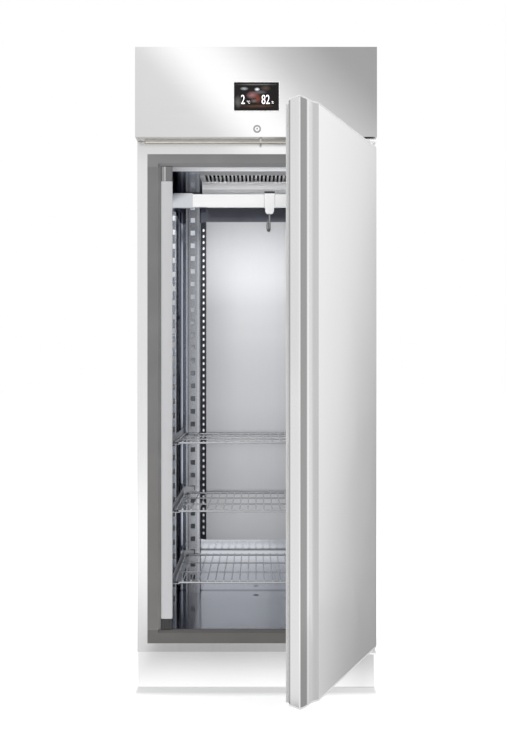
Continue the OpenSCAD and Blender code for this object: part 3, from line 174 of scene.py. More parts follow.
def withZones(tree, at, colour, zones):
    # The colour, multiplied inside each zone by the zone's own tint.
    for ranges, soft, tint in zones:
        colour = mixed(tree, zoneMask(tree, at, ranges, soft), colour, tint, "MULTIPLY")
    return colour


def newMaterial(name, metallic, constants=None):
    # A material kept under its name, as its tree, its shader and its Object coordinates.
    material = materials[name] = bpy.data.materials.new(name)
    material.use_nodes = True
    tree = material.node_tree
    shader = tree.nodes["Principled BSDF"]
    for key, value in {"Metallic": metallic, **(constants or {})}.items():
        shader.inputs[key].default_value = value
    return tree, shader, shaderNode(tree, "TexCoord").outputs["Object"]


def connect(tree, shader, inputs, height, strength, distance):
    # The outputs joined to the shader's inputs, with a bump of that height.
    bump = shaderNode(tree, "Bump", {"Height": height, "Strength": strength, "Distance": distance})
    for name, output in {**inputs, "Normal": bump.outputs["Normal"]}.items():
        tree.links.new(output, shader.inputs[name])


def brushedMetal(name, colour, roughness, along="z", grain=0.12, cloud=0.03, constants=None, zones=()):
    # Fine hairlines that run along one axis, over slow clouds of tone; both also vary the roughness.
    tree, shader, at = newMaterial(name, 1.0, constants)
    hairLong, hairFine = 0.16, 0.0011
    hair = noise(tree, at, [hairLong if axis == along else hairFine for axis in "xyz"], 4.0)
    clouds = noise(tree, at, (0.35, 0.35, 0.5), 2.0)
    blend = calculated(tree, "ADD", spread(tree, hair, 0, 0.5), spread(tree, clouds, 0, 0.5))
    tone = toned(tree, blend, colour, 1 - cloud, 1 + cloud)
    connect(tree, shader, {"Base Color": withZones(tree, at, tone, zones),
                           "Roughness": spread(tree, blend, roughness * 0.86, roughness * 1.16, 0, 1)},
            hair, grain, 0.0002)


def grainedPlastic(name, colour, roughness, grain=0.15, size=0.0012, metallic=0.0, constants=None, zones=()):
    # A moulded or sprayed surface: fine even grain, with a slow change of tone.
    tree, shader, at = newMaterial(name, metallic, constants)
    fine = noise(tree, at, size)
    slow = noise(tree, at, 0.12, 2.0)
    tone = toned(tree, spread(tree, slow, 0, 1), colour, 0.93, 1.05)
    connect(tree, shader, {"Base Color": withZones(tree, at, tone, zones),
                           "Roughness": spread(tree, fine, roughness * 0.85, roughness * 1.15)},
            fine, grain, 0.0003)


def galvanised(name, colour, roughness):
    # Zinc flowers: flat crystal cells, each with its own tone and gloss.
    tree, shader, at = newMaterial(name, 1.0)
    cells = shaderNode(tree, "TexVoronoi", {"Vector": at, "Scale": 90.0}).outputs["Color"]
    value = shaderNode(tree, "SeparateColor", {"Color": cells}).outputs["Red"]
    connect(tree, shader, {"Base Color": toned(tree, value, colour, 0.8, 1.12),
                           "Roughness": spread(tree, value, roughness * 0.8, roughness * 1.2, 0, 1)},
            value, 0.05, 0.0003)


def foamSkin(name, colour):
    # Small closed cells under a skin, with slow clouds of tone.
    tree, shader, at = newMaterial(name, 0.0, {"Subsurface Weight": 0.0})
    cells = shaderNode(tree, "TexVoronoi", {"Vector": at, "Scale": 260.0}).outputs["Distance"]
    slow = spread(tree, noise(tree, at, 0.06), 0, 1)
    connect(tree, shader, {"Base Color": toned(tree, slow, colour, 0.88, 1.05),
                           "Roughness": spread(tree, cells, 0.75, 0.95, 0, 1)}, cells, 0.4, 0.0008)


def litLens(name, colour, strength):
    # A frosted lens with an even glow.
    tree, shader, at = newMaterial(name, 0.0, {"Roughness": 0.45, "Emission Strength": strength,
                                               "Emission Color": (*colour, 1)})
    slow = spread(tree, noise(tree, at, (0.03, 0.03, 0.25), 1.0), 0, 1)
    connect(tree, shader, {"Base Color": toned(tree, slow, colour, 0.97, 1)},
            noise(tree, at, 0.0015, 2.0), 0.1, 0.0002)


def fadingGlow(name, colour, stops, repeat=None, zones=()):
    # A pale backing whose own glow, painted light, changes with the height; the stops are (height, strength). The
    # repeat is a start, a pitch and the stops within one pitch.
    tree, shader, at = newMaterial(name, 0.0, {"Roughness": 0.5, "Base Color": (0.2, 0.2, 0.21, 1)})
    height = shaderNode(tree, "SeparateXYZ", {"Vector": at}).outputs["Z"]
    glow, top = brightnessRamp(tree, height, stops)
    if repeat:
        start, pitch, inner = repeat
        turns = spread(tree, height, -start / pitch, (1 - start) / pitch, 0, 1)
        part, _ = brightnessRamp(tree, calculated(tree, "FRACT", turns), inner)
        glow = mixed(tree, 1.0, glow, part, "MULTIPLY")
    glow = withZones(tree, at, glow, zones)
    speckle = toned(tree, noise(tree, at, 0.004, 2.0), colour, 0.85, 1)
    tree.links.new(mixed(tree, 1.0, glow, speckle, "MULTIPLY"), shader.inputs["Emission Color"])
    shader.inputs["Emission Strength"].default_value = top


def glowingPicture(name, centre, spots):
    # The screen's own picture: a dark ground with soft glows, each (x, z, width, height, colour) from the
    # screen's centre.
    tree, shader, at = newMaterial(name, 0.0, {"Roughness": 0.1, "Specular IOR Level": 0.1,
                                               "Emission Strength": 0.6})
    cloud = noise(tree, at, (0.02, 0.02, 0.01))
    colour = mixed(tree, cloud, (0.003, 0.003, 0.004), (0.012, 0.01, 0.009))
    for x, z, width, height, glow in spots:
        away = vectorMath(tree, "SUBTRACT", at, (centre.x + x, centre.y, centre.z + z))["Vector"]
        apart = vectorMath(tree, "MULTIPLY", away, (1 / width, 0, 1 / height))["Vector"]
        distance = vectorMath(tree, "LENGTH", apart)["Value"]
        fade = calculated(tree, "MULTIPLY", spread(tree, distance, 1, 0, 0.1, 1), spread(tree, cloud, 0.6, 1))
        colour = mixed(tree, fade, colour, glow)
    for key in ("Base Color", "Emission Color"):
        tree.links.new(colour, shader.inputs[key])


# Zones that are toned apart, most of them painted shade and painted highlights, each with the ranges that it lies
# within, its softness and its tint.
chamberZones = (
    ({"z": (1.557, 1.7), "y": (-0.19, 0.36)}, 4 * mm, (0.26, 0.26, 0.29)),  # the shadow over the air duct
    ({"side": (0.2635, 0.2755), "y": (0.335, 0.35)}, 0.8 * mm, (0.74, 0.75, 0.8)),  # painted shade beside the uprights
    # Painted shade in the rear corners beside them.
    ({"side": (0.2765, 0.302), "y": (0.3, 0.35)}, mm, (0.72, 0.72, 0.76)),
    # Painted shade on the ceiling's sides; then the floor toned darker, and painted shade along its sides.
    ({"side": (0.186, 0.302), "y": (-0.34, 0.35), "z": (1.6, 1.66)}, mm, (0.4, 0.41, 0.48)),
    ({"z": (0.18, 0.19)}, 2 * mm, (0.65, 0.65, 0.67)),
    ({"z": (0.18, 0.19), "side": (0.2, 0.31)}, 2 * mm, (0.62, 0.62, 0.66)),
)
ductZones = (
    ({"side": (0.185, 0.2063), "y": (0.3, 0.332)}, 0.3 * mm, (0.265, 0.275, 0.315)),  # painted shade on the slanted sides
    # Painted shade towards the sides, painted light over the lower part, and a band of painted shade higher up.
    ({"side": (0.165, 0.4), "z": (0.2, 1.33)}, 0.1, (0.76, 0.76, 0.77)),
    ({"z": (0.2, 1.02)}, 0.14, (1.2, 1.2, 1.21)),
    ({"z": (1.19, 1.3)}, 0.05, 0.91),
)
coverZones = (
    ({"y": (0.004, 0.31), "z": (1.6, 1.6195)}, mm, (0.16, 0.16, 0.18)),  # painted shade on the underside
    ({"y": (-0.258, -0.172), "z": (1.64, 1.66)}, mm, (0.3, 0.3, 0.31)),  # the top, from the front backwards: painted shade that lightens, a painted highlight on the curve, and painted shade below it
    ({"y": (-0.172, -0.042), "z": (1.64, 1.66)}, mm, (0.68, 0.68, 0.69)),
    ({"y": (-0.04, 0.01), "z": (1.642, 1.654)}, mm, 1.15),
    ({"y": (-0.04, 0.02), "z": (1.6195, 1.632)}, mm, (0.68, 0.68, 0.69)),
)
rackZones = (
    ({"side": (0.2, 0.27), "y": (0.27, 0.32)}, mm, (0.74, 0.74, 0.75)),  # painted shade on the rear uprights, then painted highlights and a painted dark line on their folds
    ({"side": (0.2525, 0.2586), "y": (0.28, 0.3)}, 0.6 * mm, 1.5),
    ({"side": (0.2485, 0.2522), "y": (0.28, 0.3)}, 0.6 * mm, (0.6, 0.6, 0.62)),
    ({"side": (0.2075, 0.217), "y": (0.28, 0.3)}, 1.5 * mm, 1.25),
    ({"side": (0.2672, 0.269), "y": (-0.14, -0.1)}, 0.4 * mm, 1.6),  # a painted highlight on the front uprights' edge, and painted light on their face
    ({"side": (0.268, 0.3), "y": (-0.145, -0.1)}, mm, (1.1, 1.14, 1.2)),
)
mouthZones = (
    ({"side": (0.2995, 0.345), "z": (0.19, 1.65)}, 0.3 * mm, 0.79),  # painted shade on the sides, and a painted highlight on their chamfer
    ({"side": (0.2995, 0.3103), "z": (0.19, 1.65)}, 0.3 * mm, 1.5),
    # Painted light along the top, painted shade on the bottom rail, and painted shade growing towards the bottom.
    ({"z": (1.6525, 1.72)}, mm, (1.03, 1.03, 1.05)),
    ({"z": (0.1, 0.188)}, mm, (0.57, 0.555, 0.54)),
    ({"z": (0.1, 0.75)}, 0.25, (0.95, 0.92, 0.89)),
)
doorZones = (
    ({"door": (-0.668, -0.6307)}, (26 * mm, 0.5 * mm), 0.7),  # painted shade in the grip's hollow, then on the lip
    ({"door": (-0.7, -0.688)}, 0.5 * mm, 0.5),
)
# Painted shade on the fascia's underside flange.
fasciaZones = (({"z": (1.7295, 1.7325), "y": (-0.4163, -0.345)}, 0.3 * mm, (0.52, 0.505, 0.48)),)
# The lower profile: painted shade just under the fascia, a lighter band across its face, and painted shade in the
# gap above the frame.
profileZones = (
    ({"z": (1.7307, 1.734)}, 0.3 * mm, 0.75),
    ({"z": (1.7248, 1.7305)}, 0.3 * mm, 2.5),
    ({"z": (1.72, 1.7246)}, 0.2 * mm, 0.4),
)
# The light's top cap: a painted highlight down one line of its front, and painted shade beside it.
capZones = (
    ({"x": (-0.2895, -0.2865), "z": (1.6, 1.66)}, 0.5 * mm, 1.9),
    ({"x": (-0.2865, -0.26), "z": (1.6, 1.66)}, 0.5 * mm, 0.66),
)
# Painted shade towards the plinth's right end.
plinthZones = (({"x": (0.27, 0.4)}, 60 * mm, 0.86),)
# The backing behind the uprights' slots glows as painted light: its glow by height, and how it fades within one
# slot's pitch.
slotStops = ((0.3, 0.03), (0.85, 0.05), (1.0, 0.25), (1.2, 0.5), (1.35, 0.75), (1.48, 1.0), (1.6, 1.05))
slotRepeat = (0.2385, 0.047, ((0.0, 0.45), (0.1, 0.6), (0.2, 0.85), (0.27, 1.0), (0.3, 0.9), (0.32, 0.05),
                              (1.0, 0.03)))
# Painted shade on the rear uprights' backings.
slotZones = (({"side": (0.2, 0.262)}, mm, (0.5, 0.52, 0.55)),)
whiteGlow = {"Emission Color": (1, 1, 1, 1)}

# Metals: colour, roughness, the hairlines' axis, their depth, the clouds' depth.
brushedMetal("outer_steel", 0.76, 0.17)
brushedMetal("fascia_steel", 0.76, 0.13, "x", zones=fasciaZones)
brushedMetal("door_steel", 0.82, 0.17, zones=doorZones)
# Dark steel laid on the grip's slope: painted shade.
brushedMetal("grip_steel", 0.3, 0.24)
brushedMetal("liner_steel", (0.72, 0.73, 0.75), 0.26)
brushedMetal("inner_steel", (0.6, 0.625, 0.66), 0.22)
brushedMetal("chamber_steel", (0.6, 0.62, 0.66), 0.13, zones=chamberZones)
brushedMetal("duct_steel", (0.62, 0.625, 0.64), 0.34, constants={"Metallic": 0.65}, zones=ductZones)
brushedMetal("cover_steel", (0.82, 0.82, 0.83), 0.42, "x", constants={"Metallic": 0.6}, zones=coverZones)
brushedMetal("rack_steel", (0.66, 0.68, 0.71), 0.24, zones=rackZones)
brushedMetal("runner_steel", (0.66, 0.67, 0.7), 0.36, "y", constants={"Metallic": 0.7})
brushedMetal("bar_steel", 0.95, 0.22, "x")
brushedMetal("wire_steel", (0.58, 0.59, 0.61), 0.2, "x", 0.03)
brushedMetal("hook_steel", (0.42, 0.42, 0.43), 0.24, "z", 0.05)
brushedMetal("plinth_steel", 0.93, 0.2, "x", zones=plinthZones)
brushedMetal("light_aluminium", (0.78, 0.78, 0.79), 0.26)
brushedMetal("lock_chrome", (0.42, 0.42, 0.43), 0.2, "x", 0.04)
brushedMetal("lock_brass", (0.8, 0.8, 0.79), 0.2, "x", 0.05)
brushedMetal("cap_chrome", (0.3, 0.3, 0.305), 0.1, "z", 0.02, zones=capZones)
brushedMetal("coil_aluminium", (0.76, 0.77, 0.78), 0.3)
brushedMetal("copper", (0.82, 0.45, 0.3), 0.26, "y", 0.05, 0.08)
galvanised("galvanised_steel", (0.6, 0.61, 0.63), 0.34)
# Plastics, rubber and coats: colour, roughness, the grain's depth and size.
grainedPlastic("hinge_steel", 0.82, 0.35, 0.08, 0.0016)
grainedPlastic("grey_plastic", 0.2, 0.42, zones=mouthZones)
grainedPlastic("profile_plastic", (0.4, 0.385, 0.36), 0.42, zones=profileZones)
grainedPlastic("cap_plastic", (0.17, 0.17, 0.175), 0.4)
grainedPlastic("door_cap", 0.6, 0.35, 0.08)
grainedPlastic("seal_rubber", 0.48, 0.5)
grainedPlastic("white_plastic", 0.86, 0.35)
grainedPlastic("screen_glass", (0.01, 0.01, 0.012), 0.07, 0.0, 0.002)
grainedPlastic("coated_coil", (0.025, 0.025, 0.028), 0.4)
grainedPlastic("black_plastic", (0.03, 0.03, 0.032), 0.45)
grainedPlastic("motor_metal", (0.035, 0.035, 0.038), 0.38, 0.2, 0.002, 0.3)
grainedPlastic("black_rubber", 0.022, 0.7, 0.3)
# A faint glow on the ceiling's front strip: painted light.
grainedPlastic("mouth_strip", (0.66, 0.66, 0.68), 0.35, 0.05, 0.002, 0.0,
               {**whiteGlow, "Emission Strength": 0.08})
grainedPlastic("white_ink", 0.9, 0.5, 0.0, 0.002, 0.0, {**whiteGlow, "Emission Strength": 0.55})
foamSkin("insulation", (0.78, 0.68, 0.42))
foamSkin("housing_foam", (0.05, 0.05, 0.052))
litLens("light_lens", (0.46, 0.46, 0.47), 0.13)
# Glowing backings behind the duct's holes and the uprights' slots: painted light.
fadingGlow("hole_glow", 1.0, ((0.3, 0.35), (0.9, 0.75), (1.3, 1.15), (1.6, 1.2)))
fadingGlow("slot_glow", (0.93, 0.96, 1.0), slotStops, slotRepeat, slotZones)
print("materials:", len(materials))

# A node takes the material that is named like its slot, apart from these.
ownMaterial = {
    "fascia_panel": "fascia_steel", "lower_profile": "profile_plastic", "chamber_liner": "chamber_steel",
    "air_duct_panel": "duct_steel", "evaporator_cover": "cover_steel", "left_runners": "runner_steel",
    "right_runners": "runner_steel",
}
slotOf = {part["node"]: part["material_slot"] for part in frame["record"]["subparts"]}
bodyOf = {node: body for body, nodes in frame["record"]["behaviour"]["bodies"].items() for node in nodes}
for name, node in frame["nodes"].items():
    node.data.materials.clear()
    node.data.materials.append(materials[ownMaterial.get(name, slotOf[name])])


# Mesh helpers. A shape is (points, faces): an (n, 3) array in metres and a list of vertex indices per face.
def gridFaces(rows, columns, closedRows=False, closedColumns=False):
    # Quads between neighbouring points of a rows x columns grid.
    r, c = np.meshgrid(np.arange(rows if closedRows else rows - 1),
                       np.arange(columns if closedColumns else columns - 1), indexing="ij")
    nextRow, nextColumn = (r + 1) % rows, (c + 1) % columns
    quads = np.stack([r * columns + c, r * columns + nextColumn, nextRow * columns + nextColumn,
                      nextRow * columns + c], -1)
    return quads.reshape(-1, 4).tolist()


def joined(*shapes):
    # Several shapes as one.
    points, faces, start = [], [], 0
    for p, f in shapes:
        points.append(np.asarray(p, float))
        faces += [[i + start for i in face] for face in f]
        start += len(p)
    return np.concatenate(points), faces


def loft(rows):
    # Rows of equally many points, one closed loop each, joined in order and closed by a face at each end.
    rows = np.asarray(rows, float)
    count, width = rows.shape[:2]
    ends = [list(range(width))[::-1], list(range((count - 1) * width, count * width))]
    return rows.reshape(-1, 3), gridFaces(count, width, closedColumns=True) + ends


def wrapped(rows):
    # Rows joined as in a loft, the last one with the first.
    rows = np.asarray(rows, float)
    return rows.reshape(-1, 3), gridFaces(*rows.shape[:2], True, True)


def arcCorner(a, b, c, radius, steps=6):
    # The corner b between a and c as an arc of that radius, tangent to both sides.
    a, b, c = (np.asarray(p, float) for p in (a, b, c))
    u, v = (a - b) / np.linalg.norm(a - b), (c - b) / np.linalg.norm(c - b)
    half = math.acos(np.clip(u @ v, -1, 1)) / 2
    middle = b + (u + v) / np.linalg.norm(u + v) * radius / math.sin(half)
    p, q = b + u * radius / math.tan(half) - middle, b + v * radius / math.tan(half) - middle
    start = math.atan2(p[1], p[0])
    turn = (math.atan2(q[1], q[0]) - start + math.pi) % math.tau - math.pi
    t = start + turn * np.linspace(0, 1, steps + 1)
    return middle + radius * np.stack([np.cos(t), np.sin(t)], -1)


def roundedLoop(corners, radii, steps=6):
    # A closed polygon whose corners are arcs; a radius of 0 keeps the corner.
    count, points = len(corners), []
    for i, (corner, radius) in enumerate(zip(corners, np.broadcast_to(radii, count))):
        points.append(arcCorner(corners[i - 1], corner, corners[(i + 1) % count], radius, steps) if radius > 0
                      else np.asarray([corner], float))
    return np.concatenate(points)


def rectangle(left, right, low, high):
    return [(left, low), (right, low), (right, high), (left, high)]


def frameLoop(left, right, low, high, radius):
    # A rectangle with rounded corners; a radius for each may be given.
    return roundedLoop(rectangle(left, right, low, high), radius)


def standing(loop, y):
    # A loop of (x, z) set upright at the depth y.
    loop = np.asarray(loop)
    return np.column_stack([loop[:, 0], np.full(len(loop), y), loop[:, 1]])


def inward(points, distance):
    # Each point of an anticlockwise loop moved so that every side shifts inwards by the distance.
    before = points - np.roll(points, 1, 0)
    after = np.roll(points, -1, 0) - points
    before /= np.linalg.norm(before, axis=1, keepdims=True)
    after /= np.linalg.norm(after, axis=1, keepdims=True)
    m = np.stack([-before[:, 1], before[:, 0]], -1)
    n = np.stack([-after[:, 1], after[:, 0]], -1)
    return points + distance * (m + n) / (1 + np.sum(m * n, 1, keepdims=True))


def prism(outline, low, high, roundness=0.0, steps=4):
    # The anticlockwise outline drawn out along Z, with its end edges rolled over by the roundness.
    levels = [(low, 0.0), (high, 0.0)]
    if roundness > 0:
        t = np.linspace(0, math.pi / 2, steps + 1)
        roll = [(roundness * (1 - math.sin(a)), roundness * (1 - math.cos(a))) for a in t]
        levels = sorted([(low + rise, inset) for rise, inset in roll]
                        + [(high - rise, inset) for rise, inset in roll])
    return loft([np.column_stack([inward(outline, inset) if inset else outline, np.full(len(outline), z)])
                 for z, inset in levels])


def turnedAxes(shape, axes):
    # The shape with its coordinates taken in another order, such as "xzy", and its faces kept outwards.
    points, faces = shape
    order = ["xyz".index(a) for a in axes]
    odd = order in ([0, 2, 1], [2, 1, 0], [1, 0, 2])
    return np.asarray(points)[:, order], [face[::-1] for face in faces] if odd else faces


def lathe(profile, at, sides):
    # The rows of a (radius, height) profile turned about an upright axis through the point.
    profile = np.asarray(profile, float)
    t = np.linspace(0, math.tau, sides, endpoint=False)
    return np.asarray(at, float) + np.stack([profile[:, :1] * np.cos(t), profile[:, :1] * np.sin(t),
                                             np.broadcast_to(profile[:, 1:], (len(profile), sides))], -1)


def tube(path, radius, sides):
    # A round section carried along the path without twisting; the radius may change along it.
    path = np.asarray(path, float)
    tangent = np.gradient(path, axis=0)
    tangent /= np.linalg.norm(tangent, axis=1, keepdims=True)
    side = np.cross(tangent[0], (0, 0, 1) if abs(tangent[0][2]) < 0.9 else (1, 0, 0))
    t = np.linspace(0, math.tau, sides, endpoint=False)
    rows = []
    for point, along, r in zip(path, tangent, np.broadcast_to(radius, len(path))):
        side = side - along * (side @ along)
        side /= np.linalg.norm(side)
        rows.append(point + r * (np.outer(np.cos(t), side) + np.outer(np.sin(t), np.cross(along, side))))
    return loft(rows)


def closedTube(path, radius, sides):
    # A round section carried round a closed loop that lies in one plane.
    path = np.asarray(path, float)
    tangent = np.roll(path, -1, 0) - np.roll(path, 1, 0)
    tangent /= np.linalg.norm(tangent, axis=1, keepdims=True)
    normal = np.cross(path[1] - path[0], path[len(path) // 3] - path[0])
    normal /= np.linalg.norm(normal)
    side = np.cross(tangent, normal)
    t = np.linspace(0, math.tau, sides, endpoint=False)
    return wrapped(path[:, None] + radius * (np.cos(t)[None, :, None] * side[:, None]
                                             + np.sin(t)[None, :, None] * normal))


def onBothSides(outline):
    # The outline, and its mirror image on the other side of the middle plane, as a list of two.
    outline = np.asarray(outline, float)
    return [outline, outline[::-1] * (-1, 1)]


def onDoor(shape):
    # From the closed door's place to where the open door stands.
    points, faces = shape
    x, y = points[:, 0] - doorHinge.x, points[:, 1] - doorHinge.y
    c, s = math.cos(doorOpen), math.sin(doorOpen)
    return np.column_stack([doorHinge.x + c * x - s * y, doorHinge.y + s * x + c * y, points[:, 2]]), faces


def newMesh(name, points, faces):
    mesh = bpy.data.meshes.new(name)
    mesh.from_pydata(np.asarray(points, float).tolist(), [], faces)
    return mesh


def settle(name, mesh, body, slot, material, replaced, smooth, bevel):
    # The mesh as a finished piece that rides on its body.
    mesh.shade_smooth()
    mesh.set_sharp_from_angle(angle=math.radians(smooth))
    mesh.materials.clear()
    mesh.materials.append(materials[material or slot])
    piece = linked(name, mesh)
    if bevel:
        edges = piece.modifiers.new("edges", "BEVEL")
        edges.width, edges.segments = bevel, 2
        edges.limit_method, edges.angle_limit = "ANGLE", math.radians(30)
        edges.harden_normals = True
    else:
        piece.modifiers.new("flat faces", "WEIGHTED_NORMAL").keep_sharp = True
    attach(piece, body)
    if replaced:
        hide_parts(*replaced)


def addPiece(name, shape, body, slot, material=None, replaced=(), smooth=35, bevel=0.0, recalculate=True):
    # A new piece from a shape, with its faces turned outwards.
    mesh = newMesh(name, *shape)
    if recalculate:
        work = bmesh.new()
        work.from_mesh(mesh)
        bmesh.ops.recalc_face_normals(work, faces=work.faces)
        work.to_mesh(mesh)
        work.free()
    settle(name, mesh, body, slot, material, replaced, smooth, bevel)


def finishNode(name, bevel):
    # The node's own shape with its seams closed and its flat faces whole, so that its edges can be rounded.
    work = bmesh.new()
    work.from_mesh(frame["nodes"][name].data)
    bmesh.ops.remove_doubles(work, verts=work.verts, dist=0.002 * mm)
    bmesh.ops.dissolve_limit(work, angle_limit=math.radians(0.6), verts=work.verts, edges=work.edges)
    mesh = bpy.data.meshes.new(name + "_finish")
    work.to_mesh(mesh)
    work.free()
    settle(name + "_finish", mesh, bodyOf[name], slotOf[name], ownMaterial.get(name), [name], 28, bevel * mm)


# Door: the folded skin, drawn closed and then turned to where the door stands, with a darker strip laid on the
# slope between the grip's lip and its crease as painted shade, and a cap at each end.
doorSettings = {
    "thickness": 62 * mm, "gripWidth": 97 * mm, "gripDepth": 13.3 * mm, "hollowWidth": 37 * mm,
    "hollowSteps": 20, "lipDepth": 22 * mm, "lipRadius": 2.5 * mm, "slopeWidth": 33 * mm, "corner": 12 * mm,
    "foldRadius": 3 * mm, "backRadius": 1.5 * mm, "slopeRadius": 0.5 * mm, "linerRecess": 1.1 * mm,
    "linerGap": 2 * mm, "cap": 6 * mm, "capInset": 0.25 * mm, "capRoll": 1.6 * mm, "strip": 0.4 * mm,
    "rise": mm,
}
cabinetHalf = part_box("fascia_panel")[1].x
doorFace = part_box("fascia_panel")[0].y
doorInner = doorFace + doorSettings["thickness"]
doorLow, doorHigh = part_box("door_end_caps")[0].z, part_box("door_end_caps")[1].z
skinLow, skinHigh = doorLow + doorSettings["cap"], doorHigh - doorSettings["cap"]


def doorOutline(settings, recess=0.0):
    # Seen from above, anticlockwise: flat face, hinge side, inner side, slope to the lip, lip, and a hollow
    # that falls steeply from the face and levels out.
    left, gap = -cabinetHalf, settings["linerGap"]
    face = (left + settings["gripWidth"], doorFace)
    corner = (cabinetHalf, doorFace)
    side = (cabinetHalf, doorInner - settings["corner"])
    back = (cabinetHalf - settings["corner"], doorInner)
    slope = (left + settings["slopeWidth"], doorInner)
    lip = (left, doorFace + settings["lipDepth"])
    crease = (left + settings["slopeWidth"], doorFace + settings["gripDepth"] + settings["rise"])
    points = [[face], arcCorner(face, corner, side, settings["foldRadius"]),
              arcCorner(corner, side, back, settings["backRadius"], 3),
              arcCorner(side, back, slope, settings["backRadius"], 3)]
    if recess:
        points.append([(back[0] - gap, doorInner), (back[0] - gap, doorInner - recess),
                       (slope[0] + gap, doorInner - recess), (slope[0] + gap, doorInner)])
    points += [arcCorner(back, slope, lip, settings["slopeRadius"], 3),
               arcCorner(slope, lip, crease, settings["lipRadius"], 8), [crease]]
    t = 1 - np.arange(0, settings["hollowSteps"]) / settings["hollowSteps"]
    points.append(np.stack([face[0] - settings["hollowWidth"] * t,
                            face[1] + settings["gripDepth"] * (1 - (1 - t) ** 2)], -1))
    return np.concatenate([np.asarray(p, float) for p in points])


def makeDoor(settings):
    # The outline as a prism between the caps, and again as a thin rolled slab for each cap.
    skin = prism(doorOutline(settings, settings["linerRecess"]), skinLow, skinHigh)
    addPiece("door_skin_sheet", onDoor(skin), "door", "door_steel", replaced=["door_skin"], smooth=25)
    outline = doorOutline(settings)
    lip, crease = outline[-2 - settings["hollowSteps"]:][:2]
    along = crease - lip
    out = settings["strip"] * np.array([along[1], -along[0]]) / np.linalg.norm(along)
    strip = np.array([lip + out, crease + out, crease, lip])
    addPiece("door_grip_strip", onDoor(prism(strip, skinLow, skinHigh)), "door", "door_steel", "grip_steel")
    outline = inward(outline, settings["capInset"])
    caps = joined(prism(outline, doorLow, skinLow, settings["capRoll"]),
                  prism(outline, skinHigh, doorHigh, settings["capRoll"]))
    addPiece("door_caps", onDoor(caps), "door", "cap_plastic", "door_cap", replaced=["door_end_caps"],
             smooth=40)
    print("door skin and caps")


makeDoor(doorSettings)


# The door's inner panel: a flat sheet whose pressed field stands proud inside the gasket.
linerSettings = {"gripEdge": 36 * mm, "hingeEdge": 14 * mm, "edge": 2 * mm, "field": 4 * mm,
                 "fieldInset": 17 * mm, "shoulder": 9 * mm, "flat": 12 * mm, "radius": 22 * mm, "sheet": mm}


def makeDoorLiner(settings):
    # Rounded rectangles from the sheet's edge to the field; the shoulder rises as a smooth step, 3t^2 - 2t^3.
    low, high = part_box("chamber_liner")
    inset, edge, radius = settings["fieldInset"], settings["edge"], settings["radius"]
    sheet = (settings["gripEdge"] - cabinetHalf, cabinetHalf - settings["hingeEdge"], skinLow, skinHigh)

    def row(grow, y):
        return standing(frameLoop(low.x + inset - grow, high.x - inset + grow, low.z + inset - grow,
                                  high.z - inset + grow, radius + max(grow, 0)), y)

    rows = [standing(frameLoop(*sheet, edge), y) for y in (doorInner - settings["sheet"], doorInner)]
    rows.append(row(edge, doorInner))
    for t in np.linspace(0, 1, 7)[1:]:
        rows.append(row(-settings["shoulder"] * t, doorInner + settings["field"] * (3 * t * t - 2 * t ** 3)))
    rows.append(row(-settings["shoulder"] - settings["flat"], doorInner + settings["field"]))
    addPiece("door_liner_sheet", onDoor(loft(rows)), "door", "inner_steel", "liner_steel",
             replaced=["door_liner"], smooth=30)


# The gasket: its section in parts of its width and height.
gasketSettings = {
    "height": 9.7 * mm, "width": 26 * mm, "inset": 12 * mm,
    "section": ((0, 0), (1, 0), (1, 0.16), (0.98, 0.26), (0.955, 0.32), (0.955, 0.4), (0.98, 0.48),
                (0.99, 0.62), (0.97, 0.82), (0.9, 0.95), (0.74, 1.0), (0.32, 1.0), (0.18, 0.95), (0.09, 0.82),
                (0.07, 0.62), (0.14, 0.5), (0.34, 0.42), (0.32, 0.3), (0.1, 0.26), (0, 0.16)),
}


def makeGasket(settings):
    # A bellows section, carried round the door inside its inner panel's edge with mitred corners.
    low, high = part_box("chamber_liner")
    rows = []
    for u, v in settings["section"]:
        grow, y = settings["inset"] + u * settings["width"], doorInner + v * settings["height"]
        rows.append(standing(rectangle(low.x - grow, high.x + grow, low.z - grow, high.z + grow), y))
    addPiece("door_gasket_bellows", onDoor(wrapped(rows)), "door", "seal_rubber", replaced=["door_gasket"],
             smooth=50)


makeDoorLiner(linerSettings)
makeGasket(gasketSettings)
print("door liner and gasket")


# Chamber light: a bulged lens and two grooved end caps.
lightSettings = {"bulge": 1.4 * mm, "flatness": 0.6, "gap": 0.1 * mm, "groove": 1.1 * mm, "grooves": 8,
                 "capRadius": 3 * mm, "capRoll": 1.2 * mm}


def makeLight(settings):
    # The lens's front is a flattened sine; the caps' front is a row of squared sine waves between rounded
    # corners.
    low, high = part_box("light_diffuser")
    bottom, top, left = low.z, high.z, low.x + settings["gap"]
    bulge = settings["bulge"] * np.sin(np.linspace(0, math.pi, 17)) ** settings["flatness"]
    front = np.stack([np.linspace(left, high.x, 17), low.y + settings["bulge"] - bulge], -1)
    outline = np.concatenate([front, [(high.x, high.y), (left, high.y)]])
    addPiece("light_lens", prism(outline, bottom, top), "cabinet", "light_lens", replaced=["light_diffuser"])
    low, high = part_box("light_end_caps")
    radius, roll = settings["capRadius"], settings["capRoll"]
    wave = settings["groove"] * np.maximum(0, np.sin(np.linspace(0, settings["grooves"] * math.pi, 25))) ** 2
    front = np.stack([np.linspace(low.x + radius, high.x - radius, 25), low.y + wave], -1)
    right = arcCorner((low.x, low.y), (high.x, low.y), (high.x, high.y), radius)
    left = arcCorner((low.x, high.y), (low.x, low.y), (high.x, low.y), radius)
    outline = np.concatenate([front[1:-1], right, [(high.x, high.y), (low.x, high.y)], left])
    addPiece("light_cap_low", prism(outline, low.z, bottom, roll), "cabinet", "cap_plastic", "black_plastic",
             replaced=["light_end_caps"], smooth=40)
    addPiece("light_cap_top", prism(outline, top, high.z, roll), "cabinet", "cap_plastic", "cap_chrome",
             smooth=40)


makeLight(lightSettings)
print("light")


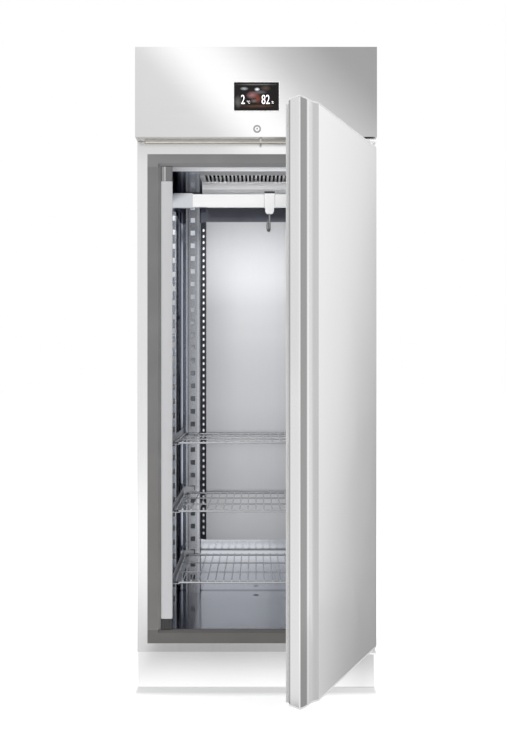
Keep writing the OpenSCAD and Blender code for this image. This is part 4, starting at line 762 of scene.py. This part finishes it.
# Chamber: coved rear corners, a pale strip along the ceiling's front edge, and the pale backings that show through
# the uprights' slots and the duct's round holes; the strip and the backings glow, painted light.
chamberSettings = {
    "cove": 26 * mm, "clear": 0.2 * mm, "sheet": 0.8 * mm, "slant": 10 * mm, "slantWidth": 22 * mm,
    "holeInset": 3.5 * mm, "holeEnds": 8 * mm, "backEnds": 2 * mm, "wall": mm,
    # The strip: how far it keeps from the sides, its thickness, and its gaps at the front and above.
    "strip": (2 * mm, 1.5 * mm, 0.5 * mm, 0.1 * mm), "stripRadius": 0.7 * mm,
    # Each upright: its width, how far its backing stands behind its face, and the backing's outer margin.
    "uprights": {"front_uprights": (32 * mm, 8 * mm, mm), "rear_uprights": (50 * mm, 8.5 * mm, 2 * mm)},
}


def makeChamber(settings):
    # Coves are quarter circles drawn up the corners; the backings are thin flat prisms behind the holes and the
    # slots, and their glow is painted light.
    liner, duct, cover = (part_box(name) for name in ("chamber_liner", "air_duct_panel", "evaporator_cover"))
    wall = settings["wall"]
    half, back, ceiling, floor = liner[1].x - wall, liner[1].y - wall, liner[1].z - wall, liner[0].z + wall
    clear, radius, sheet = settings["clear"], settings["cove"], settings["sheet"]
    a = np.linspace(0, math.pi / 2, 13)
    x, y = half - clear, back - clear
    arc = np.stack([x - radius + radius * np.cos(a), y - radius + radius * np.sin(a)], -1)[::-1]
    coves = [prism(side, floor + clear, ceiling - clear) for side in onBothSides([(x, y), *arc])]
    addPiece("liner_coves", joined(*coves), "cabinet", "inner_steel", "chamber_steel", smooth=40)

    slant, front, ends = duct[1].x - settings["slant"], duct[0].y, settings["holeEnds"]
    width, gap = settings["slantWidth"], settings["backEnds"]
    across = np.array([-1, 1]) / math.sqrt(2)
    start = np.array([slant - width + gap, front + gap]) + settings["holeInset"] * across
    end = np.array([slant - gap, front + width - gap]) + settings["holeInset"] * across
    outline = [start, end, end + sheet * across, start + sheet * across]
    backs = [prism(side, duct[0].z + ends, duct[1].z - ends) for side in onBothSides(outline)]
    addPiece("duct_hole_backs", joined(*backs), "cabinet", "inner_steel", "hole_glow")

    parts = []
    for name, (width, behind, margin) in settings["uprights"].items():
        low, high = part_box(name)
        y = low.y + behind
        outline = rectangle(high.x - width + gap, high.x - margin, y, y + sheet)
        parts += [prism(side, low.z + gap, high.z - gap) for side in onBothSides(outline)]
    addPiece("upright_slot_backs", joined(*parts), "cabinet", "rack_steel", "slot_glow")

    side, thickness, front, gap = settings["strip"]
    corners = rectangle(liner[0].y + front, cover[0].y - wall, ceiling - thickness, ceiling - gap)
    outline = roundedLoop(corners, [settings["stripRadius"], settings["stripRadius"], 0, 0], 4)
    strip = turnedAxes(prism(outline, side - half, half - side), "zxy")
    addPiece("ceiling_front_strip", strip, "cabinet", "white_plastic", "mouth_strip", smooth=40)


makeChamber(chamberSettings)
print("chamber")


# Hook carrier: a sleeve over the bar that narrows below it to a round nose, with a boss for the swivel, a dark
# pad, and dark strips down its front edges, painted shade along its outline.
carrierSettings = {
    "clear": 0.5 * mm, "waist": 3 * mm, "nose": 4 * mm, "noseRadius": 3 * mm, "bend": 0.8 * mm,
    "top": 0.3 * mm, "backNose": 0.5 * mm, "backRadius": 0.2 * mm, "bossHeight": 14 * mm, "boss": 8 * mm,
    "bore": 3.6 * mm, "edge": 0.5 * mm, "padHeight": 7 * mm, "padProud": 0.3 * mm, "padCorner": 1.5 * mm,
    "padRoll": 0.8 * mm, "seam": 0.7 * mm, "slope": mm,
}


def makeCarrier(settings):
    # Two shouldered plates, a top, a floor and a turned boss; the pad is a rounded prism with a dark strip at each
    # side, painted shade along the carrier's edges.
    low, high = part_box("hook_carrier")
    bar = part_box("hanging_bar")
    clear, waist, bend = settings["clear"], settings["waist"], settings["bend"]
    sheet = bar[0].y - clear - low.y
    left, right, base = low.x + waist, high.x - waist, low.z + settings["bossHeight"]

    def plate(bottom, narrow, radius, y):
        corners = [(left + narrow, bottom), (right - narrow, bottom), (right, bottom + 2 * narrow),
                   (right, bar[0].z - waist), (high.x, bar[0].z), (high.x, high.z), (low.x, high.z),
                   (low.x, bar[0].z), (left, bar[0].z - waist), (left, bottom + 2 * narrow)]
        radii = [radius, radius, radius, bend, bend, settings["top"], settings["top"], bend, bend, radius]
        return turnedAxes(prism(roundedLoop(corners, radii, 5), y, y + sheet), "xzy")

    def slab(x0, x1, y0, y1, bottom, top):
        return prism(rectangle(x0, x1, y0, y1), bottom, top)

    x, y = joints["hook_swivel"]["pos_m"][:2]
    boss, bore, slope = settings["boss"], settings["bore"], settings["slope"]
    section = [(bore, low.z), (boss - slope, low.z), (boss, low.z + slope), (boss, base), (bore, base)]
    sleeve = joined(plate(low.z, settings["nose"], settings["noseRadius"], low.y),
                    plate(base, settings["backNose"], settings["backRadius"], high.y - sheet),
                    slab(low.x, high.x, low.y + sheet, high.y - sheet, bar[1].z + clear, high.z),
                    slab(left, right, low.y + sheet, high.y - sheet, base, base + sheet),
                    wrapped(lathe(section, (x, y, 0), 40)))
    addPiece("hook_carrier_sleeve", sleeve, "carrier", slotOf["hook_carrier"], replaced=["hook_carrier"],
             smooth=30, bevel=settings["edge"])

    grow, seam, under = settings["padProud"], settings["seam"], high.z - settings["padHeight"]
    outline = frameLoop(low.x - grow, high.x + grow, low.y - grow, high.y + grow, settings["padCorner"])
    shadeStrips = [slab(x, x + seam, low.y - grow, low.y + seam, bar[0].z, under)
             for x in (low.x - grow, high.x + grow - seam)]
    pad = prism(outline, under, high.z + grow, settings["padRoll"])
    addPiece("carrier_pad", joined(pad, *shadeStrips), "carrier", "black_plastic", smooth=40)


makeCarrier(carrierSettings)


# Meat hook: a bent rod with a drawn-out point and a pressed head above its boss.
hookSettings = {
    "radius": 3.4 * mm, "swell": 0.7 * mm, "bend": 14 * mm, "tip": 21 * mm, "point": 0.16, "taper": 0.75,
    "sides": 20, "turn": -105,
    "head": 3 * mm, "headSection": ((0, 0), (5.2 * mm, 0), (5.9 * mm, 0.6 * mm), (5.9 * mm, 2.2 * mm),
                                    (4.6 * mm, 3 * mm), (0, 3 * mm)),
}


def makeHook(settings):
    # A straight shank, a half circle and a straight tip in one upright plane; the rod swells to its bend and
    # then draws out to a point.
    low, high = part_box("meat_hook")
    x, y = joints["hook_swivel"]["pos_m"][:2]
    turn, bend = math.radians(settings["turn"]), settings["bend"]
    thick = settings["radius"] + settings["swell"]
    bendHeight, headHeight = low.z + thick + bend, high.z - settings["head"]
    a = np.linspace(0, math.pi, 25)[1:]
    tip = np.linspace(0, settings["tip"], 10)[1:]
    reach = np.concatenate([np.zeros(12), bend - bend * np.cos(a), np.full(len(tip), 2 * bend)])
    height = np.concatenate([np.linspace(headHeight, bendHeight, 12), bendHeight - bend * np.sin(a),
                             bendHeight + tip])
    path = np.stack([x + reach * math.cos(turn), y + reach * math.sin(turn), height], -1)
    radius = np.interp(path[:, 2], [bendHeight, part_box("hook_carrier")[0].z], [thick, settings["radius"]])
    radius[-len(tip):] = thick * np.linspace(1, settings["point"], len(tip)) ** settings["taper"]
    head = loft(lathe(settings["headSection"], (x, y, headHeight), 32))
    addPiece("meat_hook_rod", joined(tube(path, radius, settings["sides"]), head), "hook", "wire_steel",
             "hook_steel", replaced=["meat_hook"], smooth=40)


makeHook(hookSettings)
print("hook")


# Display: a glass with rounded corners over a glowing picture, and plain figures.
displaySettings = {
    "corner": 2.5 * mm, "weight": 0.1 * mm, "proud": 0.04 * mm,
    # Each figure: text, x and z from the middle, height of the type, and how far it is drawn in.
    "figures": (("2", -42 * mm, -11 * mm, 0.0405, 0.66), ("82", 28.5 * mm, -11 * mm, 0.0405, 0.66),
                ("°C", -25 * mm, -18 * mm, 0.0115, 0.8), ("%", 50 * mm, -19 * mm, 0.0115, 0.8)),
    # Each spot: x and z from the middle, width, height and colour.
    "spots": (
        (0, 37 * mm, 75 * mm, 3 * mm, 0.12),
        (-38 * mm, 24 * mm, 14 * mm, 6 * mm, (0.3, 0.32, 0.32)),
        (2 * mm, 22 * mm, 9 * mm, 6 * mm, (0.7, 0.72, 0.75)),
        (10 * mm, 13 * mm, 24 * mm, 7 * mm, 0.1),
        (-13 * mm, 4 * mm, 20 * mm, 13 * mm, (0.26, 0.12, 0.12)),
        (4 * mm, -6 * mm, 12 * mm, 18 * mm, (0.16, 0.04, 0.025)),
        (-8 * mm, -14 * mm, 13 * mm, 7 * mm, (0.13, 0.1, 0.09)),
        (0, -30 * mm, 65 * mm, 6 * mm, (0.07, 0.035, 0.022)),
        (-57 * mm, -16 * mm, 13 * mm, 22 * mm, (0.09, 0.09, 0.085)),
        (28 * mm, 25 * mm, 18 * mm, 10 * mm, (0.06, 0.045, 0.035)),
    ),
}


def makeDisplay(settings):
    # The glass is a rounded rectangle with depth; each figure is a text made a mesh and set just before it.
    low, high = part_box("display_screen")
    centre = (low + high) / 2
    glowingPicture("screen_picture", centre, settings["spots"])
    loop = frameLoop(low.x, high.x, low.z, high.z, settings["corner"])
    addPiece("display_glass", loft([standing(loop, y) for y in (low.y, high.y)]), "fascia", "screen_glass",
             "screen_picture", replaced=["display_screen"])
    parts = []
    for text, x, z, size, narrow in settings["figures"]:
        curve = bpy.data.curves.new("figure", "FONT")
        curve.body, curve.size, curve.align_x, curve.align_y = text, size, "CENTER", "CENTER"
        curve.offset = settings["weight"]
        holder = linked("figure", curve)
        bpy.context.view_layer.update()
        flat = bpy.data.meshes.new_from_object(holder.evaluated_get(bpy.context.evaluated_depsgraph_get()))
        points = np.array([v.co for v in flat.vertices])
        placed = standing(points[:, :2] * (narrow, 1) + (centre.x + x, centre.z + z),
                          low.y - settings["proud"])
        parts.append((placed, [list(p.vertices) for p in flat.polygons]))
        bpy.data.objects.remove(holder)
    addPiece("display_figures", joined(*parts), "fascia", "white_plastic", "white_ink", recalculate=False)


makeDisplay(displaySettings)
print("display")


# Lock: a rolled ring on the housing's flange, and a dark keyhole in the plug's face, a black insert that is
# painted shade in place of a hole.
lockSettings = {"ring": 10.6 * mm, "section": 1.35 * mm, "hole": 1.9 * mm, "rise": 1.2 * mm,
                "slotWidth": 1.7 * mm, "slotLength": 6.5 * mm, "proud": 0.06 * mm, "depth": 0.4 * mm}


def makeLock(settings):
    # The ring is a circle with a round section; the keyhole is most of a circle, closed by a slot below it.
    x, _, z = joints["lock_turn"]["pos_m"]
    t = np.linspace(0, math.tau, 48, endpoint=False)
    circle = np.stack([x + settings["ring"] * np.cos(t), z + settings["ring"] * np.sin(t)], -1)
    ring = closedTube(standing(circle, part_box("lock_housing")[0].y), settings["section"], 12)
    addPiece("lock_ring", ring, bodyOf["lock_housing"], "lock_chrome", smooth=60)
    half, r, foot = settings["slotWidth"] / 2, settings["hole"], z - settings["slotLength"] / 2
    a = np.linspace(-0.4 * math.pi, 1.4 * math.pi, 20)
    keyhole = np.concatenate([np.stack([x + r * np.cos(a), z + settings["rise"] + r * np.sin(a)], -1),
                              [(x - half, foot), (x + half, foot)]])
    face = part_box("lock_plug")[0].y
    shape = turnedAxes(prism(keyhole, face - settings["proud"], face + settings["depth"]), "xzy")
    # The keyhole is a black insert: painted shade.
    addPiece("lock_keyhole", shape, bodyOf["lock_plug"], "lock_brass", "black_plastic")


makeLock(lockSettings)


# Hinge cap: a white moulding on the upper bracket's plate.
capSettings = {"height": 3.6 * mm, "width": 42 * mm, "inset": 2 * mm, "depth": 40 * mm, "corner": 8 * mm,
               "roll": 1.4 * mm}


def makeHingeCap(settings):
    # A rounded rectangle drawn up from the plate, with its edges rolled over.
    low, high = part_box("hinge_brackets")
    front = low.y + settings["inset"]
    outline = frameLoop(high.x - settings["width"], high.x - settings["inset"], front,
                        front + settings["depth"], settings["corner"])
    cap = prism(outline, high.z, high.z + settings["height"], settings["roll"])
    addPiece("hinge_cap", cap, "cabinet", "white_plastic", smooth=50)


makeHingeCap(capSettings)
print("lock and hinge cap")


# Sheets, castings and mouldings keep their own shape, with edges softened by so many millimetres.
softened = {
    0.5: ["plinth_frame", "plinth_crossbar", "top_cover", "fascia_panel", "fascia_brackets", "control_box"],
    0.35: ["left_side_panel", "right_side_panel", "back_panel", "front_frame", "rear_grille", "lower_profile",
           "air_duct_panel", "evaporator_cover", "light_profile", "left_runners", "right_runners",
           "front_uprights", "rear_uprights", "hanging_rails", "display_housing", "lock_bolt"],
    0.8: ["hanging_bar", "breaker_frame", "hinge_brackets", "evaporator_housing", "lock_housing"],
}
for bevel, names in softened.items():
    for name in names:
        finishNode(name, bevel)
print("softened nodes:", sum(len(names) for names in softened.values()))


# Studio: a pale floor, a white surround, soft boxes, and cards that only reflections see, as the steel's
# gloss needs.
studioSettings = {
    "floor": 0.92, "floorReach": (60, 30, 90), "softLight": 0.95,
    # The floor's own glow by distance, which keeps it white far off, and the shadow at the plinth's foot.
    "floorGlow": ((0.0, 0.3), (1.0, 0.34), (2.2, 0.24), (6.0, 0.16)),
    "contact": (({"side": (-1.0, 0.378), "y": (-0.405, 0.5)}, (28 * mm, 6 * mm), 0.62),),
    "skyByDepth": ((-1.0, 1.0), (0.0, 1.0), (0.5, 0.84), (1.0, 0.76)),
    "skyByHeight": ((0.0, 0.9), (0.5, 0.97), (0.6, 1.0), (0.75, 0.84), (1.0, 0.6)),
    # Each soft box: its place, what it points at, its size, its power and how far it spreads.
    "boxes": (
        ("key", (-2.1, -3.2, 3.0), (0.0, -0.2, 1.0), (2.2, 1.8), 34, math.pi),
        ("fill", (2.4, -2.6, 1.8), (0.2, -0.4, 1.0), (1.6, 2.2), 12, math.pi),
        ("top", (0.0, 0.3, 4.4), (0.0, 0.3, 0.0), (3.0, 3.0), 30, math.pi),
        ("lamp", (0.0, -0.12, 1.45), (-0.01, 0.3, 1.2), (0.3, 0.16), 2.0, 2.4),
        ("ceilingLamp", (0.0, -0.26, 1.42), (0.0, -0.06, 1.65), (0.5, 0.1), 0.7, 2.4),
    ),
    # Each card: lower corner, upper corner, the ramp's direction, and its stops of distance and brightness.
    "cards": (
        ("fasciaCard", (-0.75, -1.0, 1.80), (0.75, -1.0, 2.34), (0.738, 0.0, 0.675),
         ((0.93, 0.88), (1.14, 0.92), (1.255, 1.34), (1.34, 1.3), (1.50, 0.76), (1.66, 0.47), (2.1, 0.43))),
        ("doorCard", (1.4, -0.6, 0.0), (1.4, 1.6, 2.9), (0.0, 1.0, -0.22),
         ((0.2, 1.06), (0.45, 0.99), (0.58, 0.955), (0.67, 0.92), (0.76, 0.82), (0.86, 0.66), (0.93, 0.52),
          (1.0, 0.45), (1.12, 0.375), (1.3, 0.35))),
        ("floorFront", (-0.385, -1.9, 0.003), (0.42, -0.335, 0.003), (0.0, -1.0, 0.0),
         ((0.34, 1.1), (0.5, 0.95), (0.66, 0.72), (0.84, 0.4), (1.0, 0.38), (1.12, 0.62), (1.3, 0.92),
          (1.9, 1.0))),
        ("floorLeft", (-0.52, -1.9, 0.003), (-0.385, -0.335, 0.003), (0.0, -1.0, 0.0),
         ((0.34, 0.95), (0.88, 0.9), (1.23, 0.93), (1.6, 1.03), (1.9, 1.12))),
        ("floorAhead", (-1.3, -16.0, 0.003), (1.3, -1.9, 0.003), (0.0, -1.0, 0.0),
         ((1.9, 1.12), (2.6, 1.22), (3.4, 1.33), (6.0, 1.33), (9.0, 1.15), (15.0, 1.0))),
        ("floorAround", (-30.0, -16.0, 0.002), (30.0, 16.0, 0.002), (0.0, 1.0, 0.0),
         ((-16.0, 0.9), (0.0, 0.9), (16.0, 0.82))),
        ("floorRight", (0.43, -1.2, 0.003), (1.4, 1.6, 0.003), (-0.834, 0.552, 0.0),
         ((-0.85, 0.85), (-0.715, 0.7), (-0.683, 0.6), (-0.617, 0.42), (-0.53, 0.376), (-0.3, 0.36))),
    ),
}


def makeSoftBox(name, place, target, size, power, spreadAngle):
    data = bpy.data.lights.new(name, "AREA")
    data.shape, data.size, data.size_y, data.energy, data.spread = "RECTANGLE", *size, power, spreadAngle
    light = linked(name, data)
    light.location = place
    light.rotation_euler = (Vector(target) - Vector(place)).to_track_quat("-Z", "Y").to_euler()
    light.visible_camera = light.visible_glossy = False


def makeCard(name, low, high, direction, stops):
    # A flat card between two corners that share one coordinate; its glow changes along the direction.
    across = next(axis for axis in range(3) if low[axis] != high[axis])
    corners = np.array([low, low, high, high], float)
    corners[1, across], corners[3, across] = high[across], low[across]
    mesh = newMesh(name, corners, [(0, 1, 2, 3)])
    card = linked(name, mesh)
    material = bpy.data.materials.new(name)
    material.use_nodes = True
    tree = material.node_tree
    tree.nodes.clear()
    at = shaderNode(tree, "TexCoord").outputs["Object"]
    colour, top = brightnessRamp(tree, vectorMath(tree, "DOT_PRODUCT", at, direction)["Value"], stops)
    glow = shaderNode(tree, "Emission", {"Color": colour, "Strength": top})
    shaderNode(tree, "OutputMaterial", {"Surface": glow.outputs["Emission"]})
    mesh.materials.append(material)
    card.visible_camera = card.visible_diffuse = card.visible_shadow = card.visible_transmission = False


def makeSurround(settings):
    # White behind the cabinet; reflections see a sky that is brightest at eye level and soft above.
    world = scene.world = bpy.data.worlds.new("studio")
    world.use_nodes = True
    tree = world.node_tree
    tree.nodes.clear()

    def background(colour, strength):
        return shaderNode(tree, "Background", {"Color": colour, "Strength": strength}).outputs["Background"]

    def chosen(ray, other, seen):
        return shaderNode(tree, "MixShader", {"Fac": rays[ray], 1: other, 2: seen}).outputs["Shader"]

    at = shaderNode(tree, "TexCoord").outputs["Generated"]
    direction = shaderNode(tree, "SeparateXYZ", {"Vector": at}).outputs
    height, top = brightnessRamp(tree, spread(tree, direction["Z"], 0, 1, -1, 1), settings["skyByHeight"])
    depth, most = brightnessRamp(tree, direction["Y"], settings["skyByDepth"])
    rays = shaderNode(tree, "LightPath").outputs
    sky = background(mixed(tree, 1.0, height, depth, "MULTIPLY"), top * most)
    lit = chosen("Is Glossy Ray", background((1, 1, 1, 1), settings["softLight"]), sky)
    shaderNode(tree, "OutputWorld", {"Surface": chosen("Is Camera Ray", lit, background((1, 1, 1, 1), 1.0))})
    scene.view_settings.view_transform = "Standard"


def makeFloor(settings):
    # One wide face, whose tone and own glow follow the distance and the shadow under the plinth.
    side, ahead, behind = settings["floorReach"]
    mesh = newMesh("floor", [(-side, -ahead, 0), (side, -ahead, 0), (side, behind, 0), (-side, behind, 0)],
                   [(0, 1, 2, 3)])
    floor = linked("floor", mesh)
    tree, shader, at = newMaterial("floor", 0.0, {"Roughness": 0.9, **whiteGlow})
    tree.links.new(withZones(tree, at, settings["floor"], settings["contact"]), shader.inputs["Base Color"])
    glow, top = brightnessRamp(tree, vectorMath(tree, "LENGTH", at)["Value"], settings["floorGlow"])
    glow = withZones(tree, at, glow, settings["contact"])
    tree.links.new(calculated(tree, "MULTIPLY", glow, top), shader.inputs["Emission Strength"])
    mesh.materials.append(materials["floor"])


makeFloor(studioSettings)
makeSurround(studioSettings)
for box in studioSettings["boxes"]:
    makeSoftBox(*box)
for card in studioSettings["cards"]:
    makeCard(*card)
print("studio")
